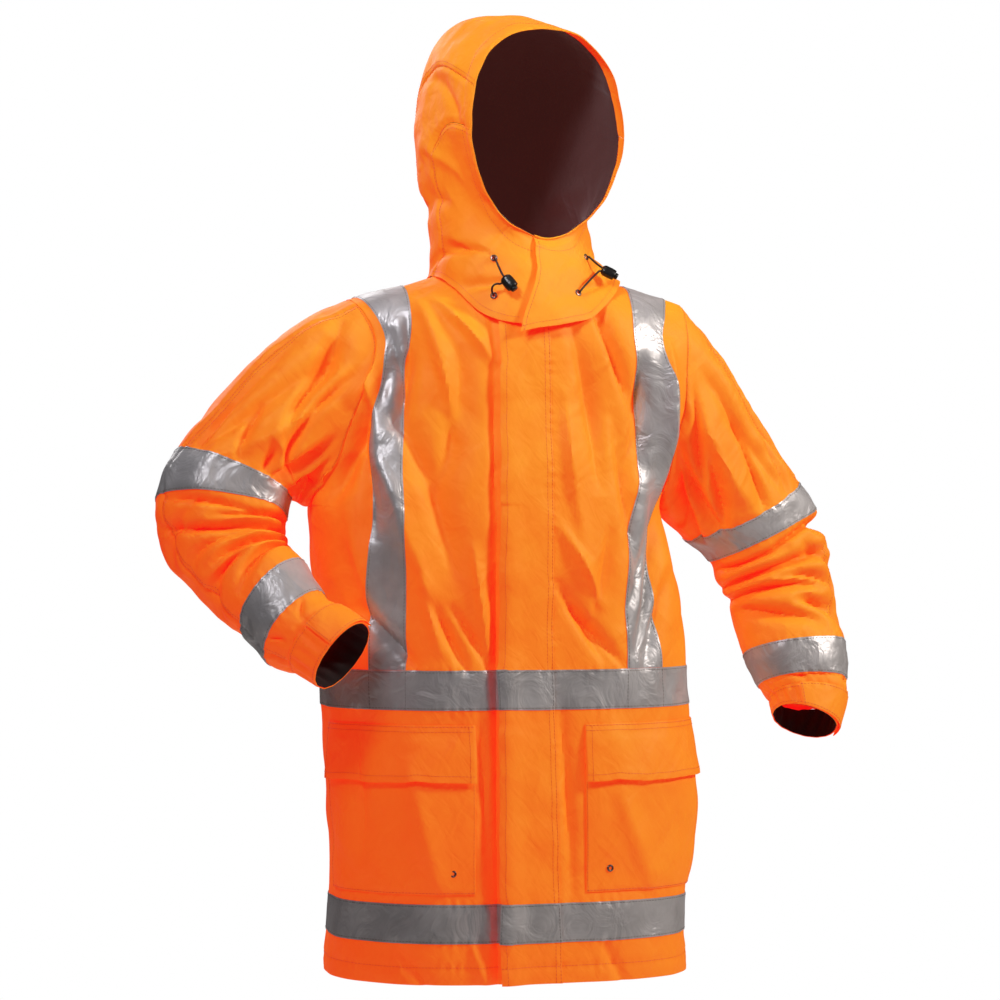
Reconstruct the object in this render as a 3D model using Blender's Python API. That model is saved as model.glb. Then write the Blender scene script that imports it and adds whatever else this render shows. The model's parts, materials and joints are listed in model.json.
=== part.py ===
"""Hooded high-visibility work parka in its worn form, as the pieces a maker cuts and sews.

Metres, +Z up.  The front faces -Y and the wearer's left is +X.  The origin lies at the base of
the wearer's neck, level with the shoulders.

The cloth follows a few smooth surfaces: the front, the back, two sleeves, two cuffs and the
hood.  Each surface is sampled as a sheet of points with outward normals.  A piece is a mask of
the sheet's cells walled between two distances along those normals, so pieces that lie on a
panel share the panel's own points and keep an even gap to it.
"""

import math

import bpy
import numpy as np

MM = 0.001
DEGREES = math.pi / 180.0

# Cloth thicknesses and the clearances between pieces.
CLOTH = 1.5 * MM
TAPE = 1.0 * MM
LINING = 1.0 * MM
GAP = 0.32 * MM
HALF_SEAM = 0.16 * MM
HALF_BENT_SEAM = 0.26 * MM
BEHIND_CLOTH = -(CLOTH + GAP)

# Levels of the body.  Above the underarm a level is the height of the armhole's edge there.
HEM = -0.866
HEM_TAPE = (-0.815, -0.766)
POCKET_FOOT = -0.754
POCKET_MIDDLE = -0.685
POCKET_FLAP_FOOT = -0.615
POCKET_MOUTH = -0.557
POCKET_FLAP_TOP = -0.543
WAIST_TAPE = (-0.525, -0.475)
CHEST_LEVELS = (-0.420, -0.365, -0.315)
UNDERARM = -0.270
SHOULDER_TIP = -0.005
ARMHOLE_MIDDLE = 0.5 * (UNDERARM + SHOULDER_TIP)
ARMHOLE_RISE = 0.5 * (SHOULDER_TIP - UNDERARM)
ARMHOLE_STEPS = 8

# The shoulder line: its height at the neck's centre, its fall for each metre outward and how
# much steeper it gets, for each side.
RIDGE_HEIGHT = 0.0487
RIDGE_FALL = {"right": (0.253, 0.0), "left": (0.149, 0.42)}
SHOULDER_ROUND = 2.4

# Points that agree to this many digits of a metre are one point of a seam.
WELD_DIGITS = 6

# The neckline's plan.
NECK_HALF_WIDTH = 0.085
NECK_FRONT = 0.110
NECK_BACK = 0.075

# The armhole's reach before and behind the side seam.
ARMHOLE_FRONT = 0.085
ARMHOLE_BACK = 0.090

# Half sections of the body.
SECTION_COLUMNS = ("level", "half_right", "half_left", "front", "back")
SECTIONS = (
    (-0.866, 0.237, 0.233, 0.166, 0.152),
    (-0.766, 0.233, 0.228, 0.162, 0.151),
    (-0.700, 0.232, 0.235, 0.160, 0.150),
    (-0.650, 0.234, 0.242, 0.159, 0.149),
    (-0.590, 0.237, 0.236, 0.158, 0.148),
    (-0.500, 0.242, 0.231, 0.156, 0.146),
    (-0.410, 0.246, 0.224, 0.156, 0.147),
    (-0.320, 0.256, 0.208, 0.155, 0.150),
    (-0.270, 0.260, 0.199, 0.153, 0.150),
    (-0.205, 0.232, 0.202, 0.149, 0.146),
    (-0.143, 0.208, 0.212, 0.143, 0.139),
    (-0.100, 0.190, 0.217, 0.138, 0.132),
    (-0.060, 0.187, 0.219, 0.132, 0.122),
    (-0.005, 0.208, 0.222, 0.122, 0.112),
)
ROUNDNESS = {"right": 2.4, "left": 2.7}

# Where the grid's lines run across half a front, from the centre out: distance from the centre
# line at each level.  The tape's own edges are lines of the grid.
LINE_COLUMNS = ("level", "flap", "pocket", "first_between", "second_between", "tape_in",
                "tape_out")
LINES_RIGHT = (
    (-0.866, 0.037, 0.073, 0.105, 0.132, 0.160, 0.200),
    (-0.475, 0.037, 0.073, 0.105, 0.132, 0.157, 0.199),
    (-0.300, 0.037, 0.070, 0.100, 0.130, 0.157, 0.199),
    (-0.170, 0.037, 0.066, 0.096, 0.128, 0.160, 0.197),
    (-0.092, 0.037, 0.060, 0.090, 0.122, 0.158, 0.179),
    (-0.060, 0.037, 0.058, 0.087, 0.115, 0.146, 0.176),
    (-0.005, 0.037, 0.056, 0.085, 0.112, 0.141, 0.199),
)
LINES_LEFT = (
    (-0.866, 0.036, 0.068, 0.090, 0.108, 0.126, 0.178),
    (-0.600, 0.030, 0.067, 0.089, 0.108, 0.126, 0.178),
    (-0.475, 0.027, 0.067, 0.089, 0.106, 0.124, 0.176),
    (-0.340, 0.027, 0.066, 0.088, 0.106, 0.127, 0.172),
    (-0.240, 0.027, 0.064, 0.087, 0.112, 0.146, 0.184),
    (-0.140, 0.027, 0.061, 0.086, 0.114, 0.155, 0.195),
    (-0.060, 0.027, 0.058, 0.085, 0.112, 0.142, 0.184),
    (-0.005, 0.027, 0.056, 0.085, 0.112, 0.148, 0.203),
)
LINES_BACK = (
    (-0.866, 0.037, 0.066, 0.092, 0.112, 0.133, 0.183),
    (-0.270, 0.037, 0.064, 0.090, 0.112, 0.133, 0.178),
    (-0.100, 0.037, 0.060, 0.087, 0.112, 0.133, 0.176),
)
SIDE_STEPS = (0.42, 0.80)
SIDE_REACH = 0.995

# Folds fade out over this many grid lines from a side seam, an armhole or the shoulder line,
# and have this share of their depth at their two ends.
FOLD_FADE_LINES = 2.0
FOLD_END_SHARE = 0.55

# Folds of the body cloth: a soft ridge (+) or trough (-) along a line in the view from the front.
FOLD_COLUMNS = ("x0", "z0", "x1", "z1", "width", "depth")
FRONT_FOLDS = (
    (-0.176, -0.100, -0.238, -0.250, 0.016, -0.010),
    (-0.205, -0.180, -0.150, -0.330, 0.020, 0.006),
    (-0.120, -0.060, -0.155, -0.160, 0.018, -0.006),
    (-0.060, -0.090, -0.105, -0.230, 0.022, -0.005),
    (0.090, -0.045, 0.135, -0.150, 0.016, -0.008),
    (0.120, -0.160, 0.100, -0.330, 0.024, -0.005),
    (0.185, -0.210, 0.120, -0.420, 0.020, -0.006),
    (-0.215, -0.400, -0.120, -0.455, 0.018, -0.005),
    (0.070, -0.420, 0.085, -0.620, 0.020, -0.005),
    (-0.150, -0.640, -0.120, -0.740, 0.020, 0.004),
    (0.130, -0.640, 0.150, -0.740, 0.020, 0.004),
)
BACK_FOLDS = (
    (-0.170, -0.120, -0.110, -0.260, 0.020, -0.007),
    (0.165, -0.130, 0.115, -0.270, 0.022, -0.007),
    (-0.060, -0.300, -0.040, -0.560, 0.024, -0.006),
    (0.070, -0.330, 0.050, -0.600, 0.022, -0.005),
    (-0.190, -0.380, -0.120, -0.480, 0.020, -0.005),
    (0.190, -0.400, 0.130, -0.500, 0.020, -0.005),
)

# The sleeves: the outer and inner lines of the arm as seen from the front, and half the depth.
# Each is cut in two halves: OUTER_SEAM is the column of the seam before the outer line, and the
# other seam lies UNDER_SEAM columns behind the inner line.
SLEEVE_COLUMNS = ("station", "out_x", "out_y", "out_z", "in_x", "in_y", "in_z", "half_depth")
SLEEVE_RIGHT = (
    (0.0, -0.208, 0.000, -0.004, -0.260, 0.000, -0.270, 0.088),
    (1.0, -0.280, 0.000, -0.041, -0.269, 0.000, -0.269, 0.088),
    (2.0, -0.358, 0.003, -0.116, -0.276, -0.002, -0.266, 0.084),
    (3.0, -0.429, 0.000, -0.198, -0.283, -0.010, -0.263, 0.078),
    (4.0, -0.453, -0.010, -0.262, -0.290, -0.020, -0.287, 0.074),
    (5.0, -0.449, -0.026, -0.326, -0.289, -0.035, -0.308, 0.071),
    (6.0, -0.403, -0.055, -0.388, -0.283, -0.055, -0.328, 0.064),
    (7.0, -0.356, -0.092, -0.430, -0.275, -0.085, -0.343, 0.057),
    (8.0, -0.329, -0.118, -0.461, -0.256, -0.115, -0.382, 0.052),
    (9.0, -0.304, -0.137, -0.473, -0.238, -0.135, -0.396, 0.048),
    (10.0, -0.272, -0.158, -0.493, -0.211, -0.160, -0.417, 0.048),
)
SLEEVE_LEFT = (
    (0.0, 0.222, 0.000, -0.005, 0.199, 0.000, -0.270, 0.088),
    (1.0, 0.270, 0.000, -0.056, 0.207, 0.000, -0.282, 0.088),
    (2.0, 0.334, 0.006, -0.146, 0.218, 0.005, -0.293, 0.084),
    (3.0, 0.393, 0.014, -0.236, 0.246, 0.014, -0.314, 0.078),
    (4.0, 0.417, 0.015, -0.276, 0.280, 0.015, -0.343, 0.073),
    (5.0, 0.434, 0.009, -0.330, 0.287, 0.010, -0.372, 0.069),
    (6.0, 0.441, -0.004, -0.392, 0.302, 0.000, -0.408, 0.063),
    (7.0, 0.448, -0.022, -0.451, 0.314, -0.018, -0.463, 0.058),
    (8.0, 0.444, -0.037, -0.502, 0.333, -0.031, -0.503, 0.053),
    (9.0, 0.442, -0.046, -0.524, 0.341, -0.040, -0.517, 0.050),
    (10.0, 0.424, -0.060, -0.566, 0.345, -0.054, -0.535, 0.046),
)
SLEEVE_STATIONS = (0.0, 0.4, 0.8, 1.2, 1.6, 2.0, 2.35, 2.7, 3.0, 3.5, 4.0, 4.5, 5.0, 5.5, 6.0,
                   6.5, 7.0, 7.5, 8.0, 8.5, 9.0)
CUFF_STATIONS = (9.0, 9.35, 9.7, 10.0)
UPPER_TAPE = (3.0, 4.0)
LOWER_TAPE = (7.0, 8.0)
ARMHOLE_BLEND = 2.0
ARM_STEP = 0.05
SLEEVE_ROUND = 2.15
GATHER_DEPTH = 2.2 * MM
OUTER_SEAM = 7
UNDER_SEAM = 1

# Folds of the sleeves: station and angle about the arm (0 inner, 90 front, 180 outer).  They
# come in over the first stations, go out over the last ones, and are pressed at these many
# places along their length.
SLEEVE_FOLD_RISE = 0.8
SLEEVE_FOLD_FALL = 0.5
SLEEVE_FOLD_PLACES = 15
SLEEVE_FOLD_COLUMNS = ("station0", "angle0", "station1", "angle1", "width", "depth")
SLEEVE_FOLDS_RIGHT = (
    (0.7, 60.0, 2.6, 110.0, 0.016, -0.009),
    (1.6, 40.0, 3.0, 70.0, 0.014, -0.008),
    (4.4, 70.0, 5.2, 160.0, 0.015, -0.008),
    (5.4, 40.0, 6.1, 150.0, 0.014, -0.009),
    (6.3, 60.0, 6.8, 190.0, 0.012, -0.006),
    (1.4, 250.0, 2.7, 290.0, 0.018, -0.008),
    (4.6, 200.0, 5.6, 300.0, 0.016, -0.008),
)
SLEEVE_FOLDS_LEFT = (
    (0.8, 70.0, 2.6, 120.0, 0.016, -0.008),
    (1.8, 40.0, 2.8, 80.0, 0.014, -0.008),
    (4.5, 60.0, 5.2, 140.0, 0.014, -0.008),
    (5.4, 50.0, 6.3, 120.0, 0.014, -0.009),
    (6.2, 90.0, 6.8, 180.0, 0.012, -0.006),
    (1.4, 240.0, 2.7, 290.0, 0.018, -0.008),
    (4.6, 210.0, 5.6, 300.0, 0.016, -0.008),
)

# The hood: rings from the skirt's hem, round the neck and the back of the head, to the face
# opening.  Each has a front and a back point, half widths, a lift of its sides, its turn, the
# angle of the crown's seam and how square its front and its back are.
HOOD_COLUMNS = ("ring", "front_y", "front_z", "back_y", "back_z", "half_right", "half_left",
                "lift", "turn", "crown_angle", "front_round", "back_round")
HOOD = (
    (0.0, -0.143, -0.040, 0.122, -0.030, 0.104, 0.140, 0.052, 4.0, 118.0, 2.3, 2.2),
    (1.0, -0.140, -0.030, 0.115, -0.004, 0.102, 0.128, 0.050, 6.0, 118.0, 2.3, 2.2),
    (2.0, -0.135, -0.018, 0.103, 0.028, 0.102, 0.113, 0.046, 9.0, 119.0, 2.3, 2.2),
    (3.0, -0.129, -0.004, 0.098, 0.060, 0.102, 0.104, 0.036, 12.0, 120.0, 2.3, 2.2),
    (4.0, -0.124, 0.011, 0.101, 0.098, 0.103, 0.101, 0.024, 15.0, 122.0, 2.3, 2.3),
    (5.0, -0.119, 0.024, 0.111, 0.140, 0.104, 0.103, 0.012, 17.0, 124.0, 2.3, 2.4),
    (6.0, -0.114, 0.035, 0.121, 0.190, 0.104, 0.103, 0.004, 18.0, 125.0, 2.3, 2.5),
    (7.0, -0.110, 0.044, 0.124, 0.240, 0.104, 0.103, 0.000, 18.0, 124.0, 2.2, 2.6),
    (8.0, -0.107, 0.051, 0.117, 0.291, 0.104, 0.105, 0.000, 18.0, 122.0, 2.1, 2.75),
    (9.0, -0.105, 0.056, 0.094, 0.333, 0.106, 0.108, 0.000, 18.0, 120.0, 2.0, 2.8),
    (10.0, -0.103, 0.060, 0.054, 0.359, 0.109, 0.111, 0.000, 18.0, 117.0, 1.95, 2.65),
    (11.0, -0.101, 0.064, 0.006, 0.367, 0.111, 0.113, 0.000, 18.0, 114.0, 1.9, 2.5),
    (12.0, -0.100, 0.067, -0.048, 0.354, 0.112, 0.114, 0.000, 18.0, 112.0, 1.85, 2.4),
    (13.0, -0.099, 0.070, -0.104, 0.334, 0.112, 0.114, 0.000, 18.0, 110.0, 1.8, 2.35),
)
HOOD_ANGLES = (0.0, 11.0, 25.0, 42.0, 60.0, 76.0, 90.0)
HOOD_SIDE_COLUMN = 6
HOOD_CROWN_COLUMN = 8
HOOD_CROWN_RING = 6
HOOD_COLUMN_COUNT = 24
HOOD_RINGS = tuple(float(ring) for ring in range(13)) + (12.75, 13.0)
HOOD_SEAT = 3.4 * MM
WING_LIFT = {-1: 1.9 * MM, 0: 1.9 * MM, 1: 1.9 * MM, 2: 1.0 * MM}

# Lifts of the storm flap and the pockets' flaps off what they cover.
STORM_FLAP_LIFT = (3.4 * MM, 2.9 * MM, 2.2 * MM, 1.4 * MM, 0.32 * MM)
STORM_FLAP_TOP = 2
POCKET_FULLNESS = 1.2 * MM
POCKET_FLAP_LIFT = 3.0 * MM

# Where the drawcords leave the hood and the pockets drain.
HOOD_EYELETS = {
    "right_upper": (-0.0404, -0.1102, 0.0425),
    "right_lower": (-0.0433, -0.1230, -0.0057),
    "left_upper": (0.0877, -0.0734, 0.0485),
    "left_lower": (0.0682, -0.1112, -0.0002),
}
DRAIN_EYELETS = {"right": (-0.1016, -0.1535, -0.7275), "left": (0.0987, -0.1567, -0.7245)}
EYELET_PROFILE = (
    (2.0 * MM, 0.0), (4.5 * MM, 0.0), (4.0 * MM, 0.9 * MM), (2.4 * MM, 0.9 * MM),
)
FACET_SAMPLES = 24

# Each stretch of drawcord, from its eyelet to its lock.
CORD_RADIUS = 1.3 * MM
CORD_ROUTES = {
    "cord_right_upper": (
        (-0.0407, -0.1118, 0.0429), (-0.0405, -0.1146, 0.0420), (-0.0392, -0.1178, 0.0385),
        (-0.0376, -0.1208, 0.0332), (-0.0356, -0.1246, 0.0268), (-0.0336, -0.1278, 0.0213),
        (-0.0317, -0.1297, 0.0181),
    ),
    "cord_right_lower": (
        (-0.0439, -0.1246, -0.0054), (-0.0454, -0.1270, -0.0040), (-0.0470, -0.1292, -0.0002),
        (-0.0468, -0.1308, 0.0044), (-0.0440, -0.1316, 0.0077), (-0.0402, -0.1317, 0.0087),
        (-0.0363, -0.1314, 0.0088),
    ),
    "cord_left_upper": (
        (0.0889, -0.0744, 0.0488), (0.0910, -0.0757, 0.0484), (0.0944, -0.0765, 0.0455),
        (0.0988, -0.0770, 0.0415), (0.1034, -0.0774, 0.0377), (0.1076, -0.0777, 0.0347),
    ),
    "cord_left_lower": (
        (0.0690, -0.1126, 0.0004), (0.0708, -0.1148, 0.0024), (0.0762, -0.1112, 0.0082),
        (0.0836, -0.1040, 0.0148), (0.0912, -0.0953, 0.0212), (0.0988, -0.0871, 0.0270),
        (0.1034, -0.0827, 0.0301),
    ),
}

# The cord locks: a barrel closed at one end with a sprung button in its open end.
LOCK_PLACE = {"right": (-0.0265, -0.1335, 0.0108), "left": (0.1150, -0.0810, 0.0288)}
LOCK_AXIS = {"right": (0.537, -0.391, -0.748), "left": (0.869, -0.185, -0.459)}
LOCK_FACE = {"right": (-0.258, -0.920, 0.296), "left": (0.213, -0.698, 0.683)}
LOCK_FLATNESS = 0.80
BARREL_PROFILE = (
    (0.0, -9.0 * MM), (5.5 * MM, -9.0 * MM), (8.0 * MM, -6.0 * MM), (8.0 * MM, 5.0 * MM),
    (7.2 * MM, 9.0 * MM), (5.6 * MM, 9.0 * MM), (5.6 * MM, -3.0 * MM), (0.0, -3.0 * MM),
)
BUTTON_PROFILE = (
    (0.0, 0.5 * MM), (4.8 * MM, 0.5 * MM), (4.8 * MM, 12.0 * MM), (3.6 * MM, 13.5 * MM),
    (0.0, 13.5 * MM),
)
ROUND_STEPS = 12

FINISHES = {
    "hi_vis_cloth": ((1.00, 0.19, 0.012), 0.72, 0.0),
    "reflective_tape": ((0.42, 0.40, 0.40), 0.38, 0.0),
    "dark_lining": ((0.022, 0.006, 0.007), 0.80, 0.0),
    "moulded_black": ((0.012, 0.011, 0.011), 0.35, 0.0),
    "elastic_cord": ((0.020, 0.008, 0.008), 0.65, 0.0),
    "plated_eyelet": ((0.45, 0.36, 0.31), 0.35, 1.0),
}


# ---------------------------------------------------------------------------------------------
# Curves through tables
# ---------------------------------------------------------------------------------------------

def read(names, rows, name, at):
    """Read one named column of a table at any place along its first column, smoothly."""
    table = np.array(rows, dtype=float)
    knots = table[:, 0]
    values = table[:, names.index(name)]
    slopes = np.gradient(values, knots)
    place = np.clip(np.asarray(at, dtype=float), knots[0], knots[-1])
    left = np.clip(np.searchsorted(knots, place, side="right") - 1, 0, len(knots) - 2)
    span = knots[left + 1] - knots[left]
    t = (place - knots[left]) / span
    start = (1.0 + 2.0 * t) * (1.0 - t) ** 2 * values[left]
    end = t ** 2 * (3.0 - 2.0 * t) * values[left + 1]
    leave = t * (1.0 - t) ** 2 * span * slopes[left]
    arrive = t ** 2 * (t - 1.0) * span * slopes[left + 1]
    return start + end + leave + arrive


def unit(vectors):
    """Scale each vector to length one."""
    return vectors / np.maximum(np.linalg.norm(vectors, axis=-1, keepdims=True), 1e-12)


# ---------------------------------------------------------------------------------------------
# The body's surfaces
# ---------------------------------------------------------------------------------------------

def armhole_angle(level):
    """Angle round the armhole from the underarm (0) to the shoulder's tip (pi)."""
    return np.arccos(np.clip((ARMHOLE_MIDDLE - level) / ARMHOLE_RISE, -1.0, 1.0))


def section(level, side, face):
    """Half width, depth and roundness of the body at a level."""
    half = read(SECTION_COLUMNS, SECTIONS, "half_" + side, level)
    depth = read(SECTION_COLUMNS, SECTIONS, face, level)
    return half, depth, ROUNDNESS[side]


def ridge_height(x, side):
    """Height of the shoulder line at a distance from the centre."""
    fall, steepening = RIDGE_FALL[side]
    return RIDGE_HEIGHT - fall * x - steepening * x ** 2


def body_point(level, turn, side, face):
    """A point of the body's outer surface.

    level is a height, or above the underarm the armhole edge's height; turn runs from 0 at the
    centre line to pi / 2 at the side seam or the armhole.
    """
    half, depth, roundness = section(level, side, face)
    across = np.sin(turn) ** (2.0 / roundness)
    round_fall = np.abs(np.cos(turn)) ** (2.0 / roundness)
    flat_fall = 1.0 - across ** roundness
    angle = armhole_angle(level)
    reach = ARMHOLE_FRONT if face == "front" else ARMHOLE_BACK
    rise = np.minimum(angle, math.pi / 2)
    edge = np.where(level > UNDERARM, reach * np.sin(rise), 0.0)
    share = np.where(level > UNDERARM, np.sin(rise) ** 2, 0.0)
    chest_depth = section(np.minimum(level, ARMHOLE_MIDDLE), side, face)[1]
    fall = (1.0 - share) * round_fall + share * flat_fall
    forward = edge + (chest_depth - edge) * fall
    x = half * across
    neck = NECK_FRONT if face == "front" else NECK_BACK
    neck_reach = neck * np.sqrt(np.clip(1.0 - (x / NECK_HALF_WIDTH) ** 2, 0.0, 1.0))
    neck_share = np.clip(neck_reach / forward, 0.0, 1.0) ** SHOULDER_ROUND
    top = (1.0 - neck_share) ** (1.0 / SHOULDER_ROUND)
    climb = np.clip((level - ARMHOLE_MIDDLE) / ARMHOLE_RISE, 0.0, 1.0) * top
    ridge = ridge_height(x, side)
    z = np.where(level > ARMHOLE_MIDDLE, ARMHOLE_MIDDLE + (ridge - ARMHOLE_MIDDLE) * climb, level)
    lean = (1.0 - climb ** SHOULDER_ROUND) ** (1.0 / SHOULDER_ROUND)
    y = forward * lean
    sign_x = 1.0 if side == "left" else -1.0
    sign_y = -1.0 if face == "front" else 1.0
    return np.stack([sign_x * x, sign_y * y, z], axis=-1)


def line_turns(level, side, face):
    """The turn of each grid line across half the body at one level, centre line first."""
    half, _, roundness = section(level, side, face)
    front_rows = LINES_LEFT if side == "left" else LINES_RIGHT
    rows = front_rows
    if face == "back":
        rows = LINES_BACK + (front_rows[-1],)
    edges = [float(read(LINE_COLUMNS, rows, name, level)) for name in LINE_COLUMNS[1:]]
    places = [0.0, 0.5 * edges[0]] + edges[:5] + [0.5 * (edges[4] + edges[5]), edges[5]]
    turns = [math.asin(min(place / half, SIDE_REACH) ** (roundness / 2.0)) for place in places]
    last = turns[-1]
    turns += [last + step * (math.pi / 2 - last) for step in SIDE_STEPS] + [math.pi / 2]
    return np.array(turns)


def body_levels():
    """Every row of the body's grid, from the hem to the shoulder line."""
    plain = [HEM, *HEM_TAPE, POCKET_FOOT, POCKET_MIDDLE, POCKET_FLAP_FOOT,
             POCKET_MOUTH, POCKET_FLAP_TOP, *WAIST_TAPE, *CHEST_LEVELS, UNDERARM]
    steps = np.arange(1, ARMHOLE_STEPS + 1) / ARMHOLE_STEPS
    rising = ARMHOLE_MIDDLE - ARMHOLE_RISE * np.cos(math.pi * steps)
    return np.array(plain + rising.tolist())


def add_folds(points, normals, folds):
    """Move points along their normals by the soft troughs and ridges that pass near them."""
    flat = points[..., [0, 2]]
    move = np.zeros(points.shape[:-1])
    for x0, z0, x1, z1, width, depth in folds:
        start = np.array([x0, z0])
        along = np.array([x1, z1]) - start
        t = np.clip(((flat - start) @ along) / (along @ along), 0.0, 1.0)
        reach = np.linalg.norm(flat - start - t[..., None] * along, axis=-1)
        fade = FOLD_END_SHARE + (1.0 - FOLD_END_SHARE) * np.sin(math.pi * t)
        move += depth * fade * np.exp(-((reach / width) ** 2))
    return points + normals * move[..., None]


class Sheet:
    """A grid of points on a smooth surface with outward normals, closed on itself or not.

    rising says which diagonal splits the cells, so that a strip read down the back has the same
    triangles as the back itself.
    """

    def __init__(self, points, closed=False, rising=True):
        self.points = np.array(points)
        self.closed = closed
        self.rising = rising
        self.normals = None
        self.find_normals()

    def triangles(self):
        """Corner index arrays (row, column) of both triangles of every cell."""
        rows, columns = self.points.shape[:2]
        last = columns if self.closed else columns - 1
        i, j = np.meshgrid(np.arange(rows - 1), np.arange(last), indexing="ij")
        i = i.ravel()
        j = j.ravel()
        k = (j + 1) % columns
        first = (np.stack([i, i, i + 1], 1), np.stack([j, k, k], 1))
        second = (np.stack([i, i + 1, i + 1], 1), np.stack([j, k, j], 1))
        if not self.rising:
            first = (np.stack([i, i, i + 1], 1), np.stack([j, k, j], 1))
            second = (np.stack([i, i + 1, i + 1], 1), np.stack([k, k, j], 1))
        return (np.concatenate([first[0], second[0]]), np.concatenate([first[1], second[1]]))

    def find_normals(self):
        """Average the triangles' normals at each point."""
        rows, columns = self.triangles()
        corners = self.points[rows, columns]
        face = np.cross(corners[:, 1] - corners[:, 0], corners[:, 2] - corners[:, 0])
        total = np.zeros_like(self.points)
        for corner in range(3):
            np.add.at(total, (rows[:, corner], columns[:, corner]), face)
        self.normals = unit(total)


def weld(sheets):
    """Give points that sheets share along a seam one common normal."""
    total = {}
    for sheet in sheets:
        for point, normal in zip(sheet.points.reshape(-1, 3), sheet.normals.reshape(-1, 3)):
            key = tuple(np.round(point, WELD_DIGITS) + 0.0)
            total[key] = total.get(key, 0.0) + normal
    for sheet in sheets:
        shape = sheet.normals.shape
        keys = [tuple(np.round(point, WELD_DIGITS) + 0.0) for point in sheet.points.reshape(-1, 3)]
        sheet.normals = unit(np.array([total[key] for key in keys])).reshape(shape)


def body_sheet(face):
    """The whole front or back, from the wearer's right side seam to the left one."""
    rows = []
    for level in body_levels():
        halves = []
        for side in ("right", "left"):
            turns = line_turns(level, side, face)
            halves.append(body_point(np.full(len(turns), level), turns, side, face))
        rows.append(np.concatenate([halves[0][::-1], halves[1][1:]]))
    base = Sheet(rows, rising=face == "front")
    outward = 1.0 if face == "back" else -1.0
    face_outward(base, (0.0, outward, 0.0))
    normals = base.normals
    columns = np.arange(base.points.shape[1])
    rows = np.arange(base.points.shape[0])[:, None]
    to_side = np.minimum(columns, columns[-1] - columns) / FOLD_FADE_LINES
    to_top = (rows[-1] - rows) / FOLD_FADE_LINES
    inside = np.clip(to_side, 0.0, 1.0) * np.clip(to_top, 0.0, 1.0)
    folds = FRONT_FOLDS if face == "front" else BACK_FOLDS
    base.points = add_folds(base.points, normals * inside[..., None], folds)
    base.find_normals()
    face_outward(base, (0.0, outward, 0.0))
    return base


# ---------------------------------------------------------------------------------------------
# The sleeves' and the hood's surfaces
# ---------------------------------------------------------------------------------------------

def sleeve_rows(side):
    """The sleeve's table for one side."""
    return SLEEVE_RIGHT if side == "right" else SLEEVE_LEFT


def arm_line(side, edge, station):
    """A point of the arm's outer ("out") or inner ("in") line."""
    rows = sleeve_rows(side)
    parts = [read(SLEEVE_COLUMNS, rows, edge + "_" + axis, station) for axis in "xyz"]
    return np.stack(parts, axis=-1)


def sleeve_ring(side, station, angles):
    """One ring of the sleeve: angle 0 on the inner line, pi / 2 in front, pi on the outer line."""
    outer = arm_line(side, "out", station)
    inner = arm_line(side, "in", station)
    ahead = arm_line(side, "out", station + ARM_STEP) + arm_line(side, "in", station + ARM_STEP)
    behind = arm_line(side, "out", station - ARM_STEP) + arm_line(side, "in", station - ARM_STEP)
    half = 0.5 * (outer - inner)
    front = unit(np.cross(ahead - behind, half))
    front = front * -np.sign(front[1])
    share = min(station / ARMHOLE_BLEND, 1.0)
    front = unit(share * front + (1.0 - share) * np.array([0.0, -1.0, 0.0]))
    depth = float(read(SLEEVE_COLUMNS, sleeve_rows(side), "half_depth", station))
    power = 2.0 / SLEEVE_ROUND
    across = -np.sign(np.cos(angles)) * np.abs(np.cos(angles)) ** power
    forward = np.sign(np.sin(angles)) * np.abs(np.sin(angles)) ** power
    centre = 0.5 * (outer + inner)
    return centre + across[:, None] * half + depth * forward[:, None] * front


def sleeve_sheet(side, stations, armhole):
    """The sleeve as rings that start on the armhole's own points and turn into ovals."""
    angles = 2.0 * math.pi * np.arange(2 * ARMHOLE_STEPS) / (2 * ARMHOLE_STEPS)
    bend = armhole - sleeve_ring(side, 0.0, angles)
    rings = []
    for station in stations:
        share = np.clip(1.0 - station / ARMHOLE_BLEND, 0.0, 1.0)
        rings.append(sleeve_ring(side, station, angles) + bend * share ** 2 * (3.0 - 2.0 * share))
    sheet = Sheet(rings, closed=True)
    folds = SLEEVE_FOLDS_RIGHT if side == "right" else SLEEVE_FOLDS_LEFT
    return fold_sleeve(sheet, side, stations, angles, folds)


def fold_sleeve(sheet, side, stations, angles, folds):
    """Press the sleeve's folds into it, fading out at both of its ends."""
    outward = sheet.normals
    spread = unit(sheet.points - sheet.points.mean(axis=1, keepdims=True))
    if np.sum(outward * spread) < 0.0:
        outward = -outward
    move = np.zeros(sheet.points.shape[:2])
    for station0, angle0, station1, angle1, width, depth in folds:
        for t in np.linspace(0.0, 1.0, SLEEVE_FOLD_PLACES):
            station = station0 + t * (station1 - station0)
            angle = DEGREES * (angle0 + t * (angle1 - angle0))
            crest = sleeve_ring(side, station, np.array([angle]))[0]
            reach = np.linalg.norm(sheet.points - crest, axis=-1)
            bump = depth * (0.5 + 0.5 * math.sin(math.pi * t)) * np.exp(-((reach / width) ** 2))
            move = np.where(np.abs(bump) > np.abs(move), bump, move)
    place = np.asarray(stations)
    rise = np.clip(place / SLEEVE_FOLD_RISE, 0.0, 1.0)
    fade = rise * np.clip((place[-1] - place) / SLEEVE_FOLD_FALL, 0.0, 1.0)
    sheet.points = sheet.points + outward * (move * fade[:, None])[..., None]
    sheet.find_normals()
    return sheet


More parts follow.
